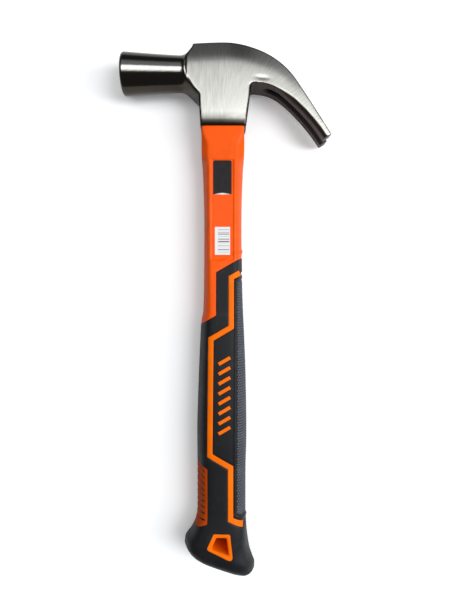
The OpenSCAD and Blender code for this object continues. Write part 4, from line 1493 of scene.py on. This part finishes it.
# %% Resin and core
def inner_finish(name, node, gloss, effect, pattern, colours, rough, bump, **values):
    """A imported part's finish: colour, roughness and bump all follow patterns of one effect."""
    material, tree, shader = surface(name, Specular_IOR_Level=gloss)
    place = add(tree, "ShaderNodeTexCoord").outputs["Object"]
    if "Across" in values:            # scratches are drawn in millimetres
        place = stretched(tree, place, (1000.0, 1000.0, 1000.0))
    made = placed_group(tree, effect, Vector=place, **values)
    tint, shade, relief = (made[name] for name in pattern)
    feed(tree, shader, Base_Color=ramp(tree, tint, (0.3, colours[0]), (0.7, colours[1])),
         Roughness=calc(tree, "MULTIPLY_ADD", shade, 0.2, rough),
         Normal=bumped(tree, relief, *bump))
    wear(bpy.data.objects[node], material)


inner_finish("cast_resin", "eye_resin", 0.5, mould, ("Unevenness", "Unevenness", "Height"),
             ((0.13, 0.075, 0.022), (0.30, 0.20, 0.07)), 0.14, (0.4, 0.0002), Pores=500.0, Patches=140.0)
inner_finish("fibre_core", "fibreglass_core", 0.4, scratches, ("Streaks", "Fine", "Streaks"),
             ((0.34, 0.29, 0.12), (0.62, 0.58, 0.34)), 0.3, (0.3, 0.0001), Across=3.0, Along=0.05)
print("finishes:", ", ".join(sorted(m.name for m in bpy.data.materials if m.users)))

# %% [markdown]
# ## Floor, light and camera
# The hammer lies on a pale floor and is seen from straight above, a little below its middle. The
# light is a studio's: one wide soft box overhead, a little towards the head, and one halfway
# down on the claw's side. Steel mirrors its surroundings, so the places of the boxes decide which
# flats look bright; the steel's colour adds a painted reflection, dark on the poll's sides and
# the cone.

# %% Camera straight above
def metres(x, y, z):
    """A place given in the hammer's own millimetres, as Blender metres."""
    return Vector((np.array([x, y, z]) + zero) / 1000.0)


MIDDLE_Y, CAMERA_UP = -107.0, 306.0
camera_data = bpy.data.cameras.new("camera")
camera = bpy.data.objects.new("camera", camera_data)
bpy.context.scene.collection.objects.link(camera)
camera.location = metres(1.6, MIDDLE_Y, CAMERA_UP)
camera_data.lens = 29.1
camera_data.sensor_width = 36.0
camera_data.clip_start = 0.01
bpy.context.scene.camera = camera
print("camera at", tuple(round(v, 4) for v in camera.location))

# %% Pale floor
floor_mesh = bpy.data.meshes.new("floor")
half = 6.0                            # half the floor's side, in metres
floor_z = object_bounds()[0][2]
floor_mesh.from_pydata([(-half, -half, floor_z), (half, -half, floor_z), (half, half, floor_z),
                        (-half, half, floor_z)], [], [(0, 1, 2, 3)])
floor = bpy.data.objects.new("floor", floor_mesh)
bpy.context.scene.collection.objects.link(floor)
floor_material, tree, shader = surface("pale_floor", Roughness=0.9, Specular_IOR_Level=0.1,
                                       Emission_Strength=0.16)
path = add(tree, "ShaderNodeLightPath").outputs
seen = calc(tree, "MAXIMUM", path["Is Glossy Ray"], path["Is Transmission Ray"])
seen = calc(tree, "MAXIMUM", path["Is Camera Ray"], seen)
feed(tree, shader, Base_Color=mix(tree, seen, (0.34, 0.34, 0.34, 1), (0.97, 0.97, 0.97, 1)),
     Emission_Color=mix(tree, path["Is Camera Ray"], (0, 0, 0, 1), (1, 1, 1, 1)))
wear(floor, floor_material)
print("floor at", round(floor_z, 4), "m")

# %% Soft boxes and a dim room
def soft_box(name, toward, distance, size, power, colour=(1, 1, 1)):
    """A rectangular lamp on a line from the hammer's middle, turned to face it."""
    data = bpy.data.lights.new(name, "AREA")
    data.shape, data.size, data.size_y = "RECTANGLE", size[0], size[1]
    data.energy, data.color = power, colour
    lamp = bpy.data.objects.new(name, data)
    bpy.context.scene.collection.objects.link(lamp)
    aim = Vector(toward).normalized()
    lamp.location = metres(0, MIDDLE_Y, 0) + aim * distance
    lamp.rotation_euler = aim.to_track_quat("Z", "Y").to_euler()
    print(name, "at", tuple(round(v, 2) for v in lamp.location))


OVERHEAD_LEAN, BOX_FAR = math.radians(10.5), 2.2
soft_box("overhead_box", (0.0, math.sin(OVERHEAD_LEAN), math.cos(OVERHEAD_LEAN)), BOX_FAR,
         (3.4, 1.3), 24.0)
soft_box("side_box", (0.72, 0.0, 0.69), BOX_FAR, (0.9, 2.4), 50.0, (0.96, 0.98, 1.0))

world = bpy.data.worlds.new("dim_room")
bpy.context.scene.world = world
world.use_nodes = True
room = world.node_tree.nodes["Background"].inputs
room["Color"].default_value, room["Strength"].default_value = (0.92, 0.95, 1.0, 1), 0.17
bpy.context.scene.view_settings.view_transform = "Standard"
